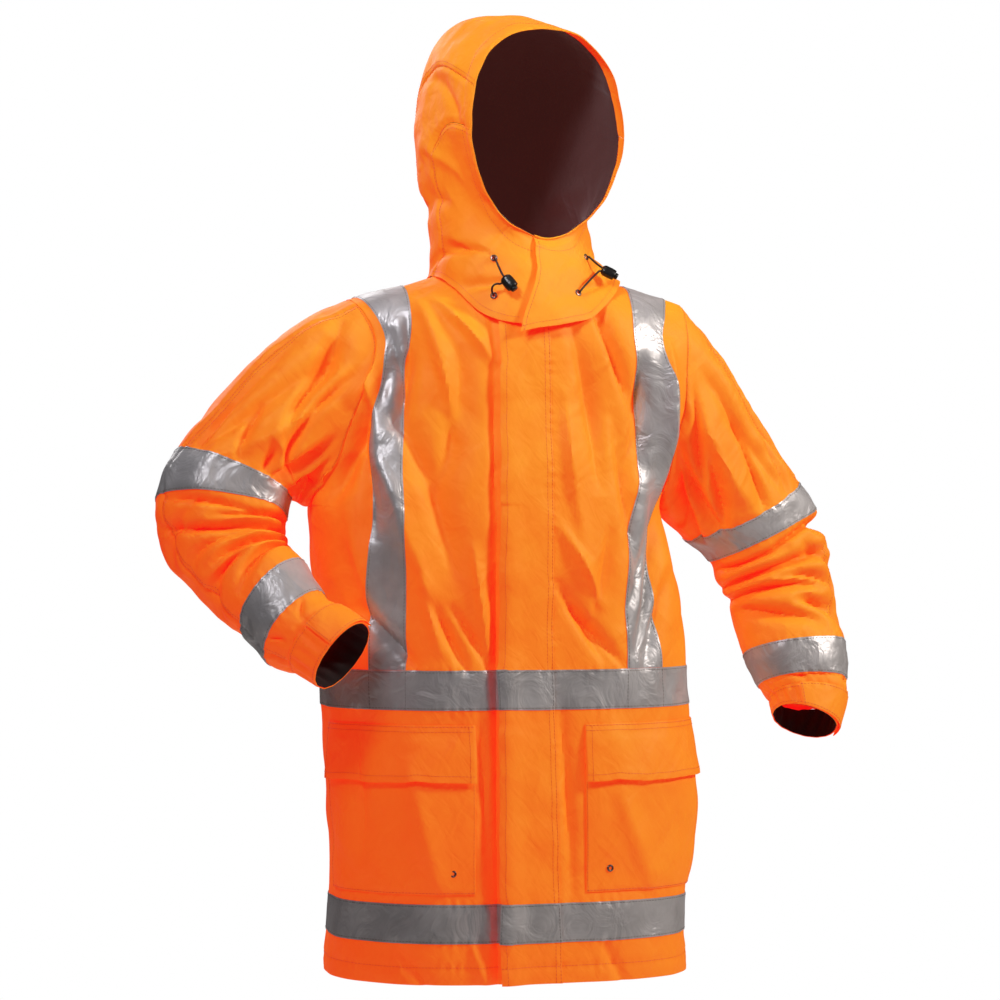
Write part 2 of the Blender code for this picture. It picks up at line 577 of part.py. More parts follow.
def cuff_sheet(side, sleeve, tab_columns):
    """The gathered cuff: it starts on the sleeve's last ring and is pleated away from its tab."""
    count = 4 * ARMHOLE_STEPS
    angles = 2.0 * math.pi * np.arange(count) / count
    last = sleeve.points[-1]
    first = np.empty((count, 3))
    first[0::2] = last
    first[1::2] = 0.5 * (last + np.roll(last, -1, axis=0))
    rings = [first]
    for station in CUFF_STATIONS[1:]:
        ring = sleeve_ring(side, station, angles)
        inward = unit(ring.mean(axis=0) - ring)
        deep = np.where(np.arange(count) % 2 == 1, GATHER_DEPTH, 0.0)
        deep[list(tab_columns)] = 0.0
        rings.append(ring + inward * deep[:, None])
    return Sheet(rings, closed=True)


def hood_angles(ring):
    """Angles of the hood's grid lines about one ring, 0 in front and positive to the left."""
    crown = float(read(HOOD_COLUMNS, HOOD, "crown_angle", ring))
    half = list(HOOD_ANGLES) + [0.5 * (HOOD_ANGLES[-1] + crown)]
    half += [crown + (180.0 - crown) * step / 4.0 for step in range(5)]
    return np.array(half + [-angle for angle in half[-2:0:-1]]) * DEGREES


def shoulder_height(x, y, clearance):
    """Height of a surface that clears the shoulders, at a place in plan."""
    left = x > 0.0
    reach = np.where(y < 0.0, ARMHOLE_FRONT, ARMHOLE_BACK)
    middle = {name: read(SECTION_COLUMNS, SECTIONS, name, ARMHOLE_MIDDLE)
              for name in SECTION_COLUMNS[1:]}
    half = np.where(left, middle["half_left"], middle["half_right"])
    share = np.clip(np.abs(x) / half, 0.0, 1.0)
    share = np.where(left, share ** ROUNDNESS["left"], share ** ROUNDNESS["right"])
    depth = reach + (np.where(y < 0.0, middle["front"], middle["back"]) - reach) * (1.0 - share)
    lean = np.clip(np.abs(y) / (depth + clearance), 0.0, 1.0)
    climb = (1.0 - lean ** SHOULDER_ROUND) ** (1.0 / SHOULDER_ROUND)
    ridge = np.where(left, ridge_height(np.abs(x), "left"), ridge_height(np.abs(x), "right"))
    return ARMHOLE_MIDDLE + (ridge + clearance - ARMHOLE_MIDDLE) * climb


def hood_ring(ring, angles):
    """One ring of the hood, turned with the head, its skirt resting on the shoulders."""
    value = {name: float(read(HOOD_COLUMNS, HOOD, name, ring)) for name in HOOD_COLUMNS[1:]}
    power = 2.0 / np.where(np.cos(angles) > 0.0, value["front_round"], value["back_round"])
    forward = np.sign(np.cos(angles)) * np.abs(np.cos(angles)) ** power
    across = np.sign(np.sin(angles)) * np.abs(np.sin(angles)) ** power
    half = np.where(across > 0.0, value["half_left"], value["half_right"])
    x = half * across
    y = 0.5 * (value["front_y"] + value["back_y"])
    y = y + 0.5 * (value["front_y"] - value["back_y"]) * forward
    z = 0.5 * (value["front_z"] + value["back_z"])
    z = z + 0.5 * (value["front_z"] - value["back_z"]) * forward
    z = z + value["lift"] * np.abs(np.sin(angles)) ** 3
    turn = value["turn"] * DEGREES
    turned_x = x * math.cos(turn) - y * math.sin(turn)
    turned_y = x * math.sin(turn) + y * math.cos(turn)
    floor = shoulder_height(turned_x, turned_y, HOOD_SEAT)
    return np.stack([turned_x, turned_y, np.maximum(z, floor)], axis=-1)


def hood_sheet():
    """The whole hood, from its hem on the shoulders to the face opening."""
    return Sheet([hood_ring(ring, hood_angles(ring)) for ring in HOOD_RINGS], closed=True)


# ---------------------------------------------------------------------------------------------
# Walls
# ---------------------------------------------------------------------------------------------

def make_object(name, vertices, faces, finish):
    """Make one named object of a mesh and its material."""
    mesh = bpy.data.meshes.new(name)
    mesh.from_pydata([tuple(vertex) for vertex in vertices], [], [tuple(face) for face in faces])
    mesh.update()
    mesh.materials.append(material(finish))
    mesh.shade_smooth()
    made = bpy.data.objects.new(name, mesh)
    bpy.context.scene.collection.objects.link(made)
    return made


def material(finish):
    """Fetch or make the material for one finish."""
    made = bpy.data.materials.get(finish)
    if made is None:
        colour, roughness, metallic = FINISHES[finish]
        made = bpy.data.materials.new(finish)
        made.use_nodes = True
        shader = made.node_tree.nodes["Principled BSDF"]
        shader.inputs["Base Color"].default_value = (*colour, 1.0)
        shader.inputs["Roughness"].default_value = roughness
        shader.inputs["Metallic"].default_value = metallic
    return made


def signed_volume(vertices, faces):
    """Six times the volume inside a closed mesh, negative if it is inside out."""
    corners = np.asarray(vertices)[np.asarray(faces)]
    return float(np.sum(corners[:, 0] * np.cross(corners[:, 1], corners[:, 2])))


def border(sheet, cells):
    """Edges that bound a mask of cells, each as ((row, column) start, end, cell)."""
    rows, columns = sheet.points.shape[:2]
    edges = {}
    for i, j in zip(*np.nonzero(cells)):
        k = (j + 1) % columns
        corners = ((i, j), (i, k), (i + 1, k), (i + 1, j))
        for step in range(4):
            start = corners[step]
            end = corners[(step + 1) % 4]
            if (end, start) in edges:
                del edges[(end, start)]
            else:
                edges[(start, end)] = (i, j)
    return [(start, end, cell) for (start, end), cell in edges.items()]


def draw_in(sheet, cells, edges, distance):
    """Points of the sheet with the mask's border drawn in along the surface."""
    columns = sheet.points.shape[1]
    pull = {}
    for start, end, (i, j) in edges:
        k = (j + 1) % columns
        centre = (sheet.points[i, j] + sheet.points[i, k]
                  + sheet.points[i + 1, j] + sheet.points[i + 1, k]) / 4.0
        along = unit(sheet.points[end] - sheet.points[start])
        inward = centre - 0.5 * (sheet.points[start] + sheet.points[end])
        for corner in (start, end):
            normal = sheet.normals[corner]
            tangent = unit(along - normal * (along @ normal))
            side = unit(np.cross(normal, tangent))
            side = side * np.sign(side @ inward)
            pull.setdefault(corner, []).append(side)
    points = sheet.points.copy()
    for corner, sides in pull.items():
        total = np.sum(sides, axis=0)
        points[corner] += distance * len(sides) * total / (total @ total)
    return points


def wall(name, sheet, cells, outer, inner, finish, trim=HALF_SEAM):
    """A closed cloth wall over a mask of cells, between two distances along the normals."""
    edges = border(sheet, cells)
    points = draw_in(sheet, cells, edges, trim)
    shape = sheet.points.shape[:2]
    outer_points = points + sheet.normals * np.broadcast_to(outer, shape)[..., None]
    inner_points = points + sheet.normals * np.broadcast_to(inner, shape)[..., None]
    numbers = {}
    vertices = []

    def corner_pair(corner):
        if corner not in numbers:
            numbers[corner] = len(vertices)
            vertices.append(outer_points[corner])
            vertices.append(inner_points[corner])
        return numbers[corner]

    faces = []
    for i, j in zip(*np.nonzero(cells)):
        k = (j + 1) % shape[1]
        a, b, c, d = (corner_pair(corner) for corner in ((i, j), (i, k), (i + 1, k), (i + 1, j)))
        split = ((a, b, c), (a, c, d)) if sheet.rising else ((a, b, d), (b, c, d))
        for p, q, r in split:
            faces += [(p, q, r), (p + 1, r + 1, q + 1)]
    for start, end, _ in edges:
        a = corner_pair(start)
        b = corner_pair(end)
        faces += [(b, a, a + 1), (b, a + 1, b + 1)]
    if signed_volume(vertices, faces) < 0.0:
        faces = [face[::-1] for face in faces]
    return make_object(name, vertices, faces, finish)


def face_outward(sheet, outward):
    """Flip a sheet's normals so that the middle one points the given way."""
    middle = tuple(size // 2 for size in sheet.points.shape[:2])
    if sheet.normals[middle] @ np.asarray(outward) < 0.0:
        sheet.normals = -sheet.normals


def face_away(sheet):
    """Flip a closed sheet's normals so that its middle ring points away from its own centre."""
    ring = len(sheet.points) // 2
    outward = sheet.points[ring] - sheet.points[ring].mean(axis=0)
    if np.sum(sheet.normals[ring] * outward) < 0.0:
        sheet.normals = -sheet.normals


def no_cells(sheet):
    """An empty mask of the sheet's cells."""
    rows, columns = sheet.points.shape[:2]
    return np.zeros((rows - 1, columns), dtype=bool)


def block(sheet, rows, columns):
    """A mask of the cells between two rows and two columns."""
    cells = no_cells(sheet)
    cells[rows[0]:rows[1], columns[0]:columns[1]] = True
    return cells


# ---------------------------------------------------------------------------------------------
# The pieces
# ---------------------------------------------------------------------------------------------

def row_of(level):
    """Row of the body's grid at a level."""
    return int(np.argmin(np.abs(body_levels() - level)))


def column_of(side, line):
    """Column of the body's grid for a line counted out from the centre."""
    centre = len(line_turns(HEM, "left", "front")) - 1
    return centre + line if side == "left" else centre - line


def between(side, inner_line, outer_line):
    """Column range between two lines on one side, in grid order."""
    ends = sorted((column_of(side, inner_line), column_of(side, outer_line)))
    return ends[0], ends[1]


SIDE_LINE = 11
FLAP_LINE = 2
POCKET_LINE = 3
POCKET_OUTER_LINE = 10
TAPE_IN_LINE = 6
TAPE_OUT_LINE = 8


def make_body(front, back):
    """Both fronts and the back."""
    last_row = len(body_levels()) - 1
    for side in ("right", "left"):
        cells = block(front, (0, last_row), between(side, 0, SIDE_LINE))
        wall("front_" + side, front, cells, 0.0, -CLOTH, "hi_vis_cloth")
    across = (column_of("right", SIDE_LINE), column_of("left", SIDE_LINE))
    wall("back", back, block(back, (0, last_row), across), 0.0, -CLOTH, "hi_vis_cloth")
    strip = (column_of("right", 1), column_of("left", 1))
    cells = block(front, (0, last_row - STORM_FLAP_TOP), strip)
    wall("front_zip", front, cells, BEHIND_CLOTH, BEHIND_CLOTH - LINING, "moulded_black")


def flap_offset(front):
    """Distance of the storm flap's underside from the fronts, over the whole grid."""
    offset = np.zeros(front.points.shape[:2])
    first = column_of("right", FLAP_LINE)
    for step, lift in enumerate(STORM_FLAP_LIFT):
        offset[:, first + step] = lift
    return offset


def make_storm_flap(front):
    """The flap over the zip, sewn on the left front and free along its right edge."""
    under = flap_offset(front)
    across = (column_of("right", FLAP_LINE), column_of("left", FLAP_LINE))
    rows = (0, len(body_levels()) - 1 - STORM_FLAP_TOP)
    wall("storm_flap", front, block(front, rows, across), under + CLOTH, under, "hi_vis_cloth")
    lying = under + CLOTH + GAP
    for name, levels in (("waist", WAIST_TAPE), ("hem", HEM_TAPE)):
        rows = (row_of(levels[0]), row_of(levels[1]))
        cells = block(front, rows, across)
        wall(name + "_tape_flap", front, cells, lying + TAPE, lying, "reflective_tape")


def make_body_tapes(front, back):
    """The bands round the waist and the hem."""
    for name, levels in (("waist", WAIST_TAPE), ("hem", HEM_TAPE)):
        rows = (row_of(levels[0]), row_of(levels[1]))
        spans = {"right": between("right", 1, SIDE_LINE), "left": between("left", 2, SIDE_LINE)}
        for side, columns in spans.items():
            cells = block(front, rows, columns)
            wall(name + "_tape_" + side, front, cells, GAP + TAPE, GAP, "reflective_tape")
        across = (column_of("right", SIDE_LINE), column_of("left", SIDE_LINE))
        cells = block(back, rows, across)
        wall(name + "_tape_back", back, cells, GAP + TAPE, GAP, "reflective_tape")


def make_braces(front, back):
    """The two bands that rise from the waist band, cross the shoulders and run down the back."""
    first = row_of(WAIST_TAPE[1])
    for side in ("right", "left"):
        columns = between(side, TAPE_IN_LINE, TAPE_OUT_LINE)
        span = slice(columns[0], columns[1] + 1)
        joined = Sheet(np.concatenate([front.points[first:, span],
                                       back.points[first:, span][::-1][1:]]))
        joined.normals = np.concatenate([front.normals[first:, span],
                                         back.normals[first:, span][::-1][1:]])
        cells = block(joined, (0, len(joined.points) - 1), (0, columns[1] - columns[0]))
        wall("brace_tape_" + side, joined, cells, GAP + TAPE, GAP, "reflective_tape")


def pocket_top(front, side):
    """Distance of a pocket's outer face from the front, over the whole grid."""
    rows, columns = front.points.shape[:2]
    span = between(side, POCKET_LINE, POCKET_OUTER_LINE)
    foot = row_of(POCKET_FOOT)
    mouth = row_of(POCKET_MOUTH)
    u = np.clip((np.arange(columns) - span[0]) / (span[1] - span[0]), 0.0, 1.0)
    v = np.clip((np.arange(rows) - foot) / (mouth - foot), 0.0, 1.0)
    full = POCKET_FULLNESS * np.sin(math.pi * v)[:, None] * np.sin(math.pi * u)[None, :]
    return GAP + CLOTH + full


def make_pockets(front):
    """Patch pockets, a little full, with flaps whose free edges stand off."""
    rows, columns = front.points.shape[:2]
    for side in ("right", "left"):
        span = between(side, POCKET_LINE, POCKET_OUTER_LINE)
        foot = row_of(POCKET_FOOT)
        mouth = row_of(POCKET_MOUTH)
        outer = pocket_top(front, side)
        cells = block(front, (foot, mouth), span)
        wall("pocket_" + side, front, cells, outer, GAP, "hi_vis_cloth")
        top = row_of(POCKET_FLAP_TOP)
        fold = row_of(POCKET_FLAP_FOOT)
        lift = np.full((rows, columns), GAP)
        lift[:mouth + 1] = (outer + GAP)[:mouth + 1]
        lift[fold] += POCKET_FLAP_LIFT
        wall("pocket_flap_" + side, front, block(front, (fold, top), span), lift + CLOTH, lift,
             "hi_vis_cloth")


def armhole_points(front, back, side):
    """The armhole's points in sleeve order: underarm, up the front, shoulder, down the back."""
    column = -1 if side == "left" else 0
    first = row_of(UNDERARM)
    rising = front.points[first:, column]
    falling = back.points[first:, column][::-1]
    return np.concatenate([rising, falling[1:-1]])


def make_sleeve(side, sleeve):
    """A sleeve's front and back halves with its two bands of tape."""
    count = sleeve.points.shape[1]
    last = len(SLEEVE_STATIONS) - 1
    everywhere = block(sleeve, (0, last), (0, count))
    ahead = block(sleeve, (0, last), (0, OUTER_SEAM))
    ahead[:, -UNDER_SEAM:] = True
    for name, cells in (("front", ahead), ("back", everywhere & ~ahead)):
        wall("sleeve_" + name + "_" + side, sleeve, cells, 0.0, -CLOTH, "hi_vis_cloth",
             HALF_BENT_SEAM)
    for name, stations in (("upper", UPPER_TAPE), ("lower", LOWER_TAPE)):
        rows = tuple(SLEEVE_STATIONS.index(station) for station in stations)
        wall("sleeve_tape_" + name + "_" + side, sleeve, block(sleeve, rows, (0, count)),
             GAP + TAPE, GAP, "reflective_tape")


TAB_COLUMNS = {"right": range(-1, 9), "left": range(6, 18)}


def make_cuff(side, cuff):
    """A gathered cuff, its dark lining and the tab that closes it."""
    rows, count = cuff.points.shape[:2]
    everywhere = block(cuff, (0, rows - 1), (0, count))
    wall("cuff_" + side, cuff, everywhere, 0.0, -CLOTH, "hi_vis_cloth", HALF_BENT_SEAM)
    wall("cuff_lining_" + side, cuff, everywhere, BEHIND_CLOTH, BEHIND_CLOTH - LINING,
         "dark_lining")
    columns = TAB_COLUMNS[side]
    cells = no_cells(cuff)
    for column in list(columns)[:-1]:
        cells[:, column] = True
    wall("cuff_tab_" + side, cuff, cells, GAP + CLOTH, GAP, "hi_vis_cloth")


def hood_lift(hood):
    """Distance of the hood's outer face from its sheet: the left wing lies over the right."""
    lift = np.zeros(hood.points.shape[:2])
    for column, height in WING_LIFT.items():
        lift[:, column] = height
    return lift


def make_hood(hood):
    """The hood's cut pieces and its lining."""
    rings = len(HOOD_RINGS) - 1
    side = HOOD_SIDE_COLUMN
    crown = HOOD_CROWN_COLUMN
    count = HOOD_COLUMN_COUNT
    right = no_cells(hood)
    right[:, count - side:] = True
    right[:, 0] = True
    wall("hood_front_right", hood, right, 0.0, -CLOTH, "hi_vis_cloth", HALF_BENT_SEAM)
    left = no_cells(hood)
    left[:, :side] = True
    left[:, count - 1] = True
    lift = hood_lift(hood)
    wall("hood_front_left", hood, left, lift, lift - CLOTH, "hi_vis_cloth", HALF_BENT_SEAM)
    top = no_cells(hood)
    top[HOOD_CROWN_RING:rings, crown:count - crown] = True
    wall("hood_crown", hood, top, 0.0, -CLOTH, "hi_vis_cloth", HALF_BENT_SEAM)
    rear = no_cells(hood)
    rear[:, side:count - side] = True
    wall("hood_back", hood, rear & ~top, 0.0, -CLOTH, "hi_vis_cloth", HALF_BENT_SEAM)
    cells = no_cells(hood)
    cells[1:rings - 1, :] = True
    wall("hood_lining", hood, cells, BEHIND_CLOTH, BEHIND_CLOTH - LINING, "dark_lining")


# ---------------------------------------------------------------------------------------------
# Eyelets, drawcords and cord locks
# ---------------------------------------------------------------------------------------------

def moved(sheet, distance):
    """A sheet moved out along its normals."""
    reach = np.broadcast_to(distance, sheet.points.shape[:2])[..., None]
    made = Sheet(sheet.points + sheet.normals * reach, sheet.closed, sheet.rising)
    made.normals = sheet.normals
    return made


def seat_on(sheet, near, radius):
    """The height and direction at which a flat ring just clears a sheet's facets."""
    rows, columns = sheet.triangles()
    corners = sheet.points[rows, columns]
    outward = sheet.normals[rows, columns].mean(axis=1)
    near = np.array(near)
    closest = np.argmin(np.linalg.norm(corners.mean(axis=1) - near, axis=-1))
    a, b, c = corners[closest]
    axis = unit(np.cross(b - a, c - a))
    axis = axis * np.sign(axis @ outward[closest])
    steps = np.arange(FACET_SAMPLES + 1) / FACET_SAMPLES
    u, v = np.meshgrid(steps, steps)
    shares = np.stack([1.0 - u, u * (1.0 - v), u * v], axis=-1).reshape(-1, 3)
    samples = (shares @ corners).reshape(-1, 3)
    height = (samples - near) @ axis
    off_axis = np.linalg.norm(samples - near - height[:, None] * axis, axis=-1)
    under = (off_axis < radius) & (np.abs(height) < 2.0 * radius)
    return near + axis * (height[under].max() + GAP), axis


def axes_about(along, face):
    """Three unit axes: across, towards a face and along."""
    along = unit(np.array(along))
    face = np.array(face)
    out = unit(face - along * (face @ along))
    return np.cross(out, along), out, along


def turned(name, profile, place, axes, finish, flatness=1.0):
    """A solid turned from a profile of (radius, height) points, its origin on its own axis."""
    across, out, along = axes
    vertices = []
    rings = []
    for radius, height in profile:
        if radius == 0.0:
            rings.append([len(vertices)] * ROUND_STEPS)
            vertices.append(height * along)
            continue
        rings.append(list(range(len(vertices), len(vertices) + ROUND_STEPS)))
        for step in range(ROUND_STEPS):
            turn = 2.0 * math.pi * step / ROUND_STEPS
            spread = math.cos(turn) * across + flatness * math.sin(turn) * out
            vertices.append(radius * spread + height * along)
    upper = rings[1:] if profile[0][0] == 0.0 else rings[1:] + rings[:1]
    faces = []
    for low, high in zip(rings, upper):
        for step in range(ROUND_STEPS):
            beside = (step + 1) % ROUND_STEPS
            for face in ((low[step], low[beside], high[beside]),
                         (low[step], high[beside], high[step])):
                if len(set(face)) == len(face):
                    faces.append(face)
    if signed_volume(vertices, faces) < 0.0:
        faces = [face[::-1] for face in faces]
    made = make_object(name, vertices, faces, finish)
    made.location = place
    return made


def make_eyelet(name, sheet, near):
    """A plated ring on the cloth."""
    place, axis = seat_on(sheet, near, EYELET_PROFILE[1][0])
    turned(name, EYELET_PROFILE, place, axes_about(axis, (0.0, 0.0, 1.0)), "plated_eyelet")


def make_cord(name, route):
    """One stretch of round drawcord along its route."""
    curve = bpy.data.curves.new(name, "CURVE")
    curve.dimensions = "3D"
    curve.bevel_depth = CORD_RADIUS
    curve.bevel_resolution = 2
    curve.use_fill_caps = True
    line = curve.splines.new("POLY")
    line.points.add(len(route) - 1)
    for point, place in zip(line.points, route):
        point.co = (*place, 1.0)
    curve.materials.append(material("elastic_cord"))
    made = bpy.data.objects.new(name, curve)
    bpy.context.scene.collection.objects.link(made)


def make_lock(side):
    """A cord lock: its barrel and the button that is pressed into it."""
    axes = axes_about(LOCK_AXIS[side], LOCK_FACE[side])
    place = LOCK_PLACE[side]
    turned("lock_barrel_" + side, BARREL_PROFILE, place, axes, "moulded_black", LOCK_FLATNESS)
    turned("lock_button_" + side, BUTTON_PROFILE, place, axes, "moulded_black", LOCK_FLATNESS)


def make_hardware(hood, front):
    """The hood's drawcords with their eyelets and locks, and the pockets' drain eyelets."""
    hood_face = moved(hood, hood_lift(hood))
    for name, near in HOOD_EYELETS.items():
        make_eyelet("eyelet_" + name, hood_face, near)
    for side, near in DRAIN_EYELETS.items():
        make_eyelet("drain_eyelet_" + side, moved(front, pocket_top(front, side)), near)
    for name, route in CORD_ROUTES.items():
        make_cord(name, route)
    for side in LOCK_PLACE:
        make_lock(side)


def clear_scene():
    """Remove every object, mesh and material of the open file."""
    for item in list(bpy.data.objects):
        bpy.data.objects.remove(item, do_unlink=True)


def main():
    """Build the parka."""
    clear_scene()
    front = body_sheet("front")
    back = body_sheet("back")
    sheets = {"front": front, "back": back}
    for side in ("right", "left"):
        armhole = armhole_points(front, back, side)
        sleeve = sleeve_sheet(side, SLEEVE_STATIONS, armhole)
        face_away(sleeve)
        cuff = cuff_sheet(side, sleeve, TAB_COLUMNS[side])
        face_away(cuff)
        sheets["sleeve_" + side] = sleeve
        sheets["cuff_" + side] = cuff
    weld(list(sheets.values()))
    hood = hood_sheet()
    face_away(hood)
    make_body(front, back)
    make_storm_flap(front)
    make_body_tapes(front, back)
    make_braces(front, back)
    make_pockets(front)
    for side in ("right", "left"):
        make_sleeve(side, sheets["sleeve_" + side])
        make_cuff(side, sheets["cuff_" + side])
    make_hood(hood)
    make_hardware(hood, front)


main()
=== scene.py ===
"""Looks of a hooded high-visibility work parka in its worn form.

Every cloth piece is a thin shell on one of four master surfaces: the body, a sleeve, a cuff and
the hood.  A master surface is a function of a row and a column coordinate.  Soft troughs, ridges
and an uneven crumple are added to it once, and each piece is then cut from it between its own
rows and columns and laid at its own distance, so that bands, pockets and flaps follow the cloth
they are sewn to.  Metres, +Z up; the front faces -Y and the wearer's left is +X.
"""

from __future__ import annotations

import json
import logging
import math
from dataclasses import dataclass, field
from enum import Enum
from functools import cached_property
from typing import Callable, Iterable, Mapping, Sequence

import bpy
import numpy as np
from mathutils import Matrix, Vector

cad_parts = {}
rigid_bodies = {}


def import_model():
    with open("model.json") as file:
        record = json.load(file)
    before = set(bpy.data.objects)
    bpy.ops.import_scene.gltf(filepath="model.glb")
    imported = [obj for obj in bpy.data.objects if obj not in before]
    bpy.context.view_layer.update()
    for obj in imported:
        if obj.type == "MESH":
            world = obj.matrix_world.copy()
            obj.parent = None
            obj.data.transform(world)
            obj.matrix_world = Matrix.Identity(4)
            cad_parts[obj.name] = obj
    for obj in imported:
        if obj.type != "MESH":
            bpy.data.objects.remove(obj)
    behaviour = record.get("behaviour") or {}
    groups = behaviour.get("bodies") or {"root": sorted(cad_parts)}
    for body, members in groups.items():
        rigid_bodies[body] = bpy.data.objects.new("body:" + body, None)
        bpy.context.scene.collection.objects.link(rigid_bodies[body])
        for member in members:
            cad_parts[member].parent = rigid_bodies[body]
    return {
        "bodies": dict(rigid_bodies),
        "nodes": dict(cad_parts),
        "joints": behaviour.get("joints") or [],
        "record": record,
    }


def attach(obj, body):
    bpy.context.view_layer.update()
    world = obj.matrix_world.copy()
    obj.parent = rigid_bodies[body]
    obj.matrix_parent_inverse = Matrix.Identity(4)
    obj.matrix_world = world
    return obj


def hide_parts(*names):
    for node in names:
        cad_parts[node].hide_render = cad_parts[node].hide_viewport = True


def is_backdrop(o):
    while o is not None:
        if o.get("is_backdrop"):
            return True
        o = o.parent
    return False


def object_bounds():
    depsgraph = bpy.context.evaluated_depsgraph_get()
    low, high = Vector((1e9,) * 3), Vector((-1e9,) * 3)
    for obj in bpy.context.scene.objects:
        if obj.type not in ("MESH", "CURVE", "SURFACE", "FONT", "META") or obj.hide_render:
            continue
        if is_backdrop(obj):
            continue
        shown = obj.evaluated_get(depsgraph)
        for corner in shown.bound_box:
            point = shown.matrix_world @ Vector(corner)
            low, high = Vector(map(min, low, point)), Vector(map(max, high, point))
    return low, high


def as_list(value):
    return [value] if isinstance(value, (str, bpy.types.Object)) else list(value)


LOG = logging.getLogger("parka")

Array = np.ndarray
Item = bpy.types.Object
Material = bpy.types.Material
Socket = bpy.types.NodeSocket
Row = tuple[float, ...]
MM = 0.001
PER_METRE = 1000.0
BODY = "garment"

# Cloth thicknesses and the clearances between pieces.
CLOTH = 1.5 * MM
TAPE = 0.9 * MM
LINING = 1.0 * MM
GAP = 0.32 * MM

# The depth of a seam's groove, and the play in comparing coordinates.
SEAM_GROOVE = 1.3 * MM
TINY = 1e-6


class Side(Enum):
    """A side of the wearer; the value is the sign of X there."""

    RIGHT = -1.0
    LEFT = 1.0

    @property
    def word(self) -> str:
        """The side as it stands in the pieces' names."""
        return self.name.lower()


class Edge(Enum):
    """An edge of a grid: its first or last row, or its first or last column."""

    LOW = "low"
    HIGH = "high"
    FIRST = "first"
    LAST = "last"


class Face(Enum):
    """The front or the back of the body; the value is the sign of Y there."""

    FRONT = -1.0
    BACK = 1.0


def each(kind: type[Enum], *values: object) -> dict:
    """A dataclass field that holds one value for each side or face, right or front first."""
    return field(default_factory=lambda: dict(zip(kind, values)))


# --- Tables ---

@dataclass(frozen=True)
class Table:
    """Named columns of sizes, read smoothly along the first one.

    All columns are in millimetres but the plain ones, which are numbers or degrees.
    """

    names: tuple[str, ...]
    rows: tuple[Row, ...]
    plain: tuple[str, ...] = ()

    def read(self, name: str, at: Array | float) -> Array:
        """Read a column anywhere along the first one by a cubic through its rows.

        Args:
            name: The column to read.
            at: Places along the first column.

        Returns:
            The values there.
        """
        units = [1.0 if column in self.plain else PER_METRE for column in self.names]
        table = np.array(self.rows, dtype=float) / units
        knots = table[:, 0]
        values = table[:, self.names.index(name)]
        slopes = np.gradient(values, knots)
        place = np.clip(np.asarray(at, dtype=float), knots[0], knots[-1])
        left = np.clip(np.searchsorted(knots, place, side="right") - 1, 0, len(knots) - 2)
        span = knots[left + 1] - knots[left]
        t = (place - knots[left]) / span
        ends = (1.0 + 2.0 * t) * (1.0 - t) ** 2 * values[left]
        ends = ends + t ** 2 * (3.0 - 2.0 * t) * values[left + 1]
        leans = t * (1.0 - t) ** 2 * slopes[left] + t ** 2 * (t - 1.0) * slopes[left + 1]
        return ends + leans * span


BODY_SECTIONS = Table(
    ("level", "half_right", "half_left", "front", "back"),
    (
        (-866, 237, 233, 166, 152),
        (-766, 233, 228, 162, 151),
        (-700, 232, 235, 160, 150),
        (-650, 234, 242, 159, 149),
        (-590, 237, 236, 158, 148),
        (-500, 242, 231, 156, 146),
        (-410, 246, 224, 156, 147),
        (-320, 256, 208, 155, 150),
        (-270, 260, 199, 153, 150),
        (-205, 232, 202, 149, 146),
        (-143, 208, 212, 143, 139),
        (-100, 190, 217, 138, 132),
        (-60, 187, 219, 132, 122),
        (-5, 208, 222, 122, 112),
    ),
)
LINE_NAMES = ("level", "flap", "pocket", "chest", "neck", "tape_in", "tape_out")
LINES_RIGHT = Table(LINE_NAMES, (
    (-866, 37, 73, 105, 132, 160, 200),
    (-475, 37, 73, 105, 132, 157, 199),
    (-300, 37, 70, 100, 130, 157, 199),
    (-170, 37, 66, 96, 128, 160, 197),
    (-92, 37, 60, 90, 122, 158, 179),
    (-60, 37, 58, 87, 115, 146, 176),
    (-5, 37, 56, 85, 112, 141, 199),
))
LINES_LEFT = Table(LINE_NAMES, (
    (-866, 36, 68, 90, 108, 126, 178),
    (-600, 30, 67, 89, 108, 126, 178),
    (-475, 27, 67, 89, 106, 124, 176),
    (-340, 27, 66, 88, 106, 127, 172),
    (-240, 27, 64, 87, 112, 146, 184),
    (-140, 27, 61, 86, 114, 155, 195),
    (-60, 27, 58, 85, 112, 142, 184),
    (-5, 27, 56, 85, 112, 148, 203),
))
LINES_BACK = Table(LINE_NAMES, (
    (-866, 37, 66, 92, 112, 133, 183),
    (-270, 37, 64, 90, 112, 133, 178),
    (-100, 37, 60, 87, 112, 133, 176),
))
SLEEVE_NAMES = ("station", "out_x", "out_y", "out_z", "in_x", "in_y", "in_z", "half_depth")
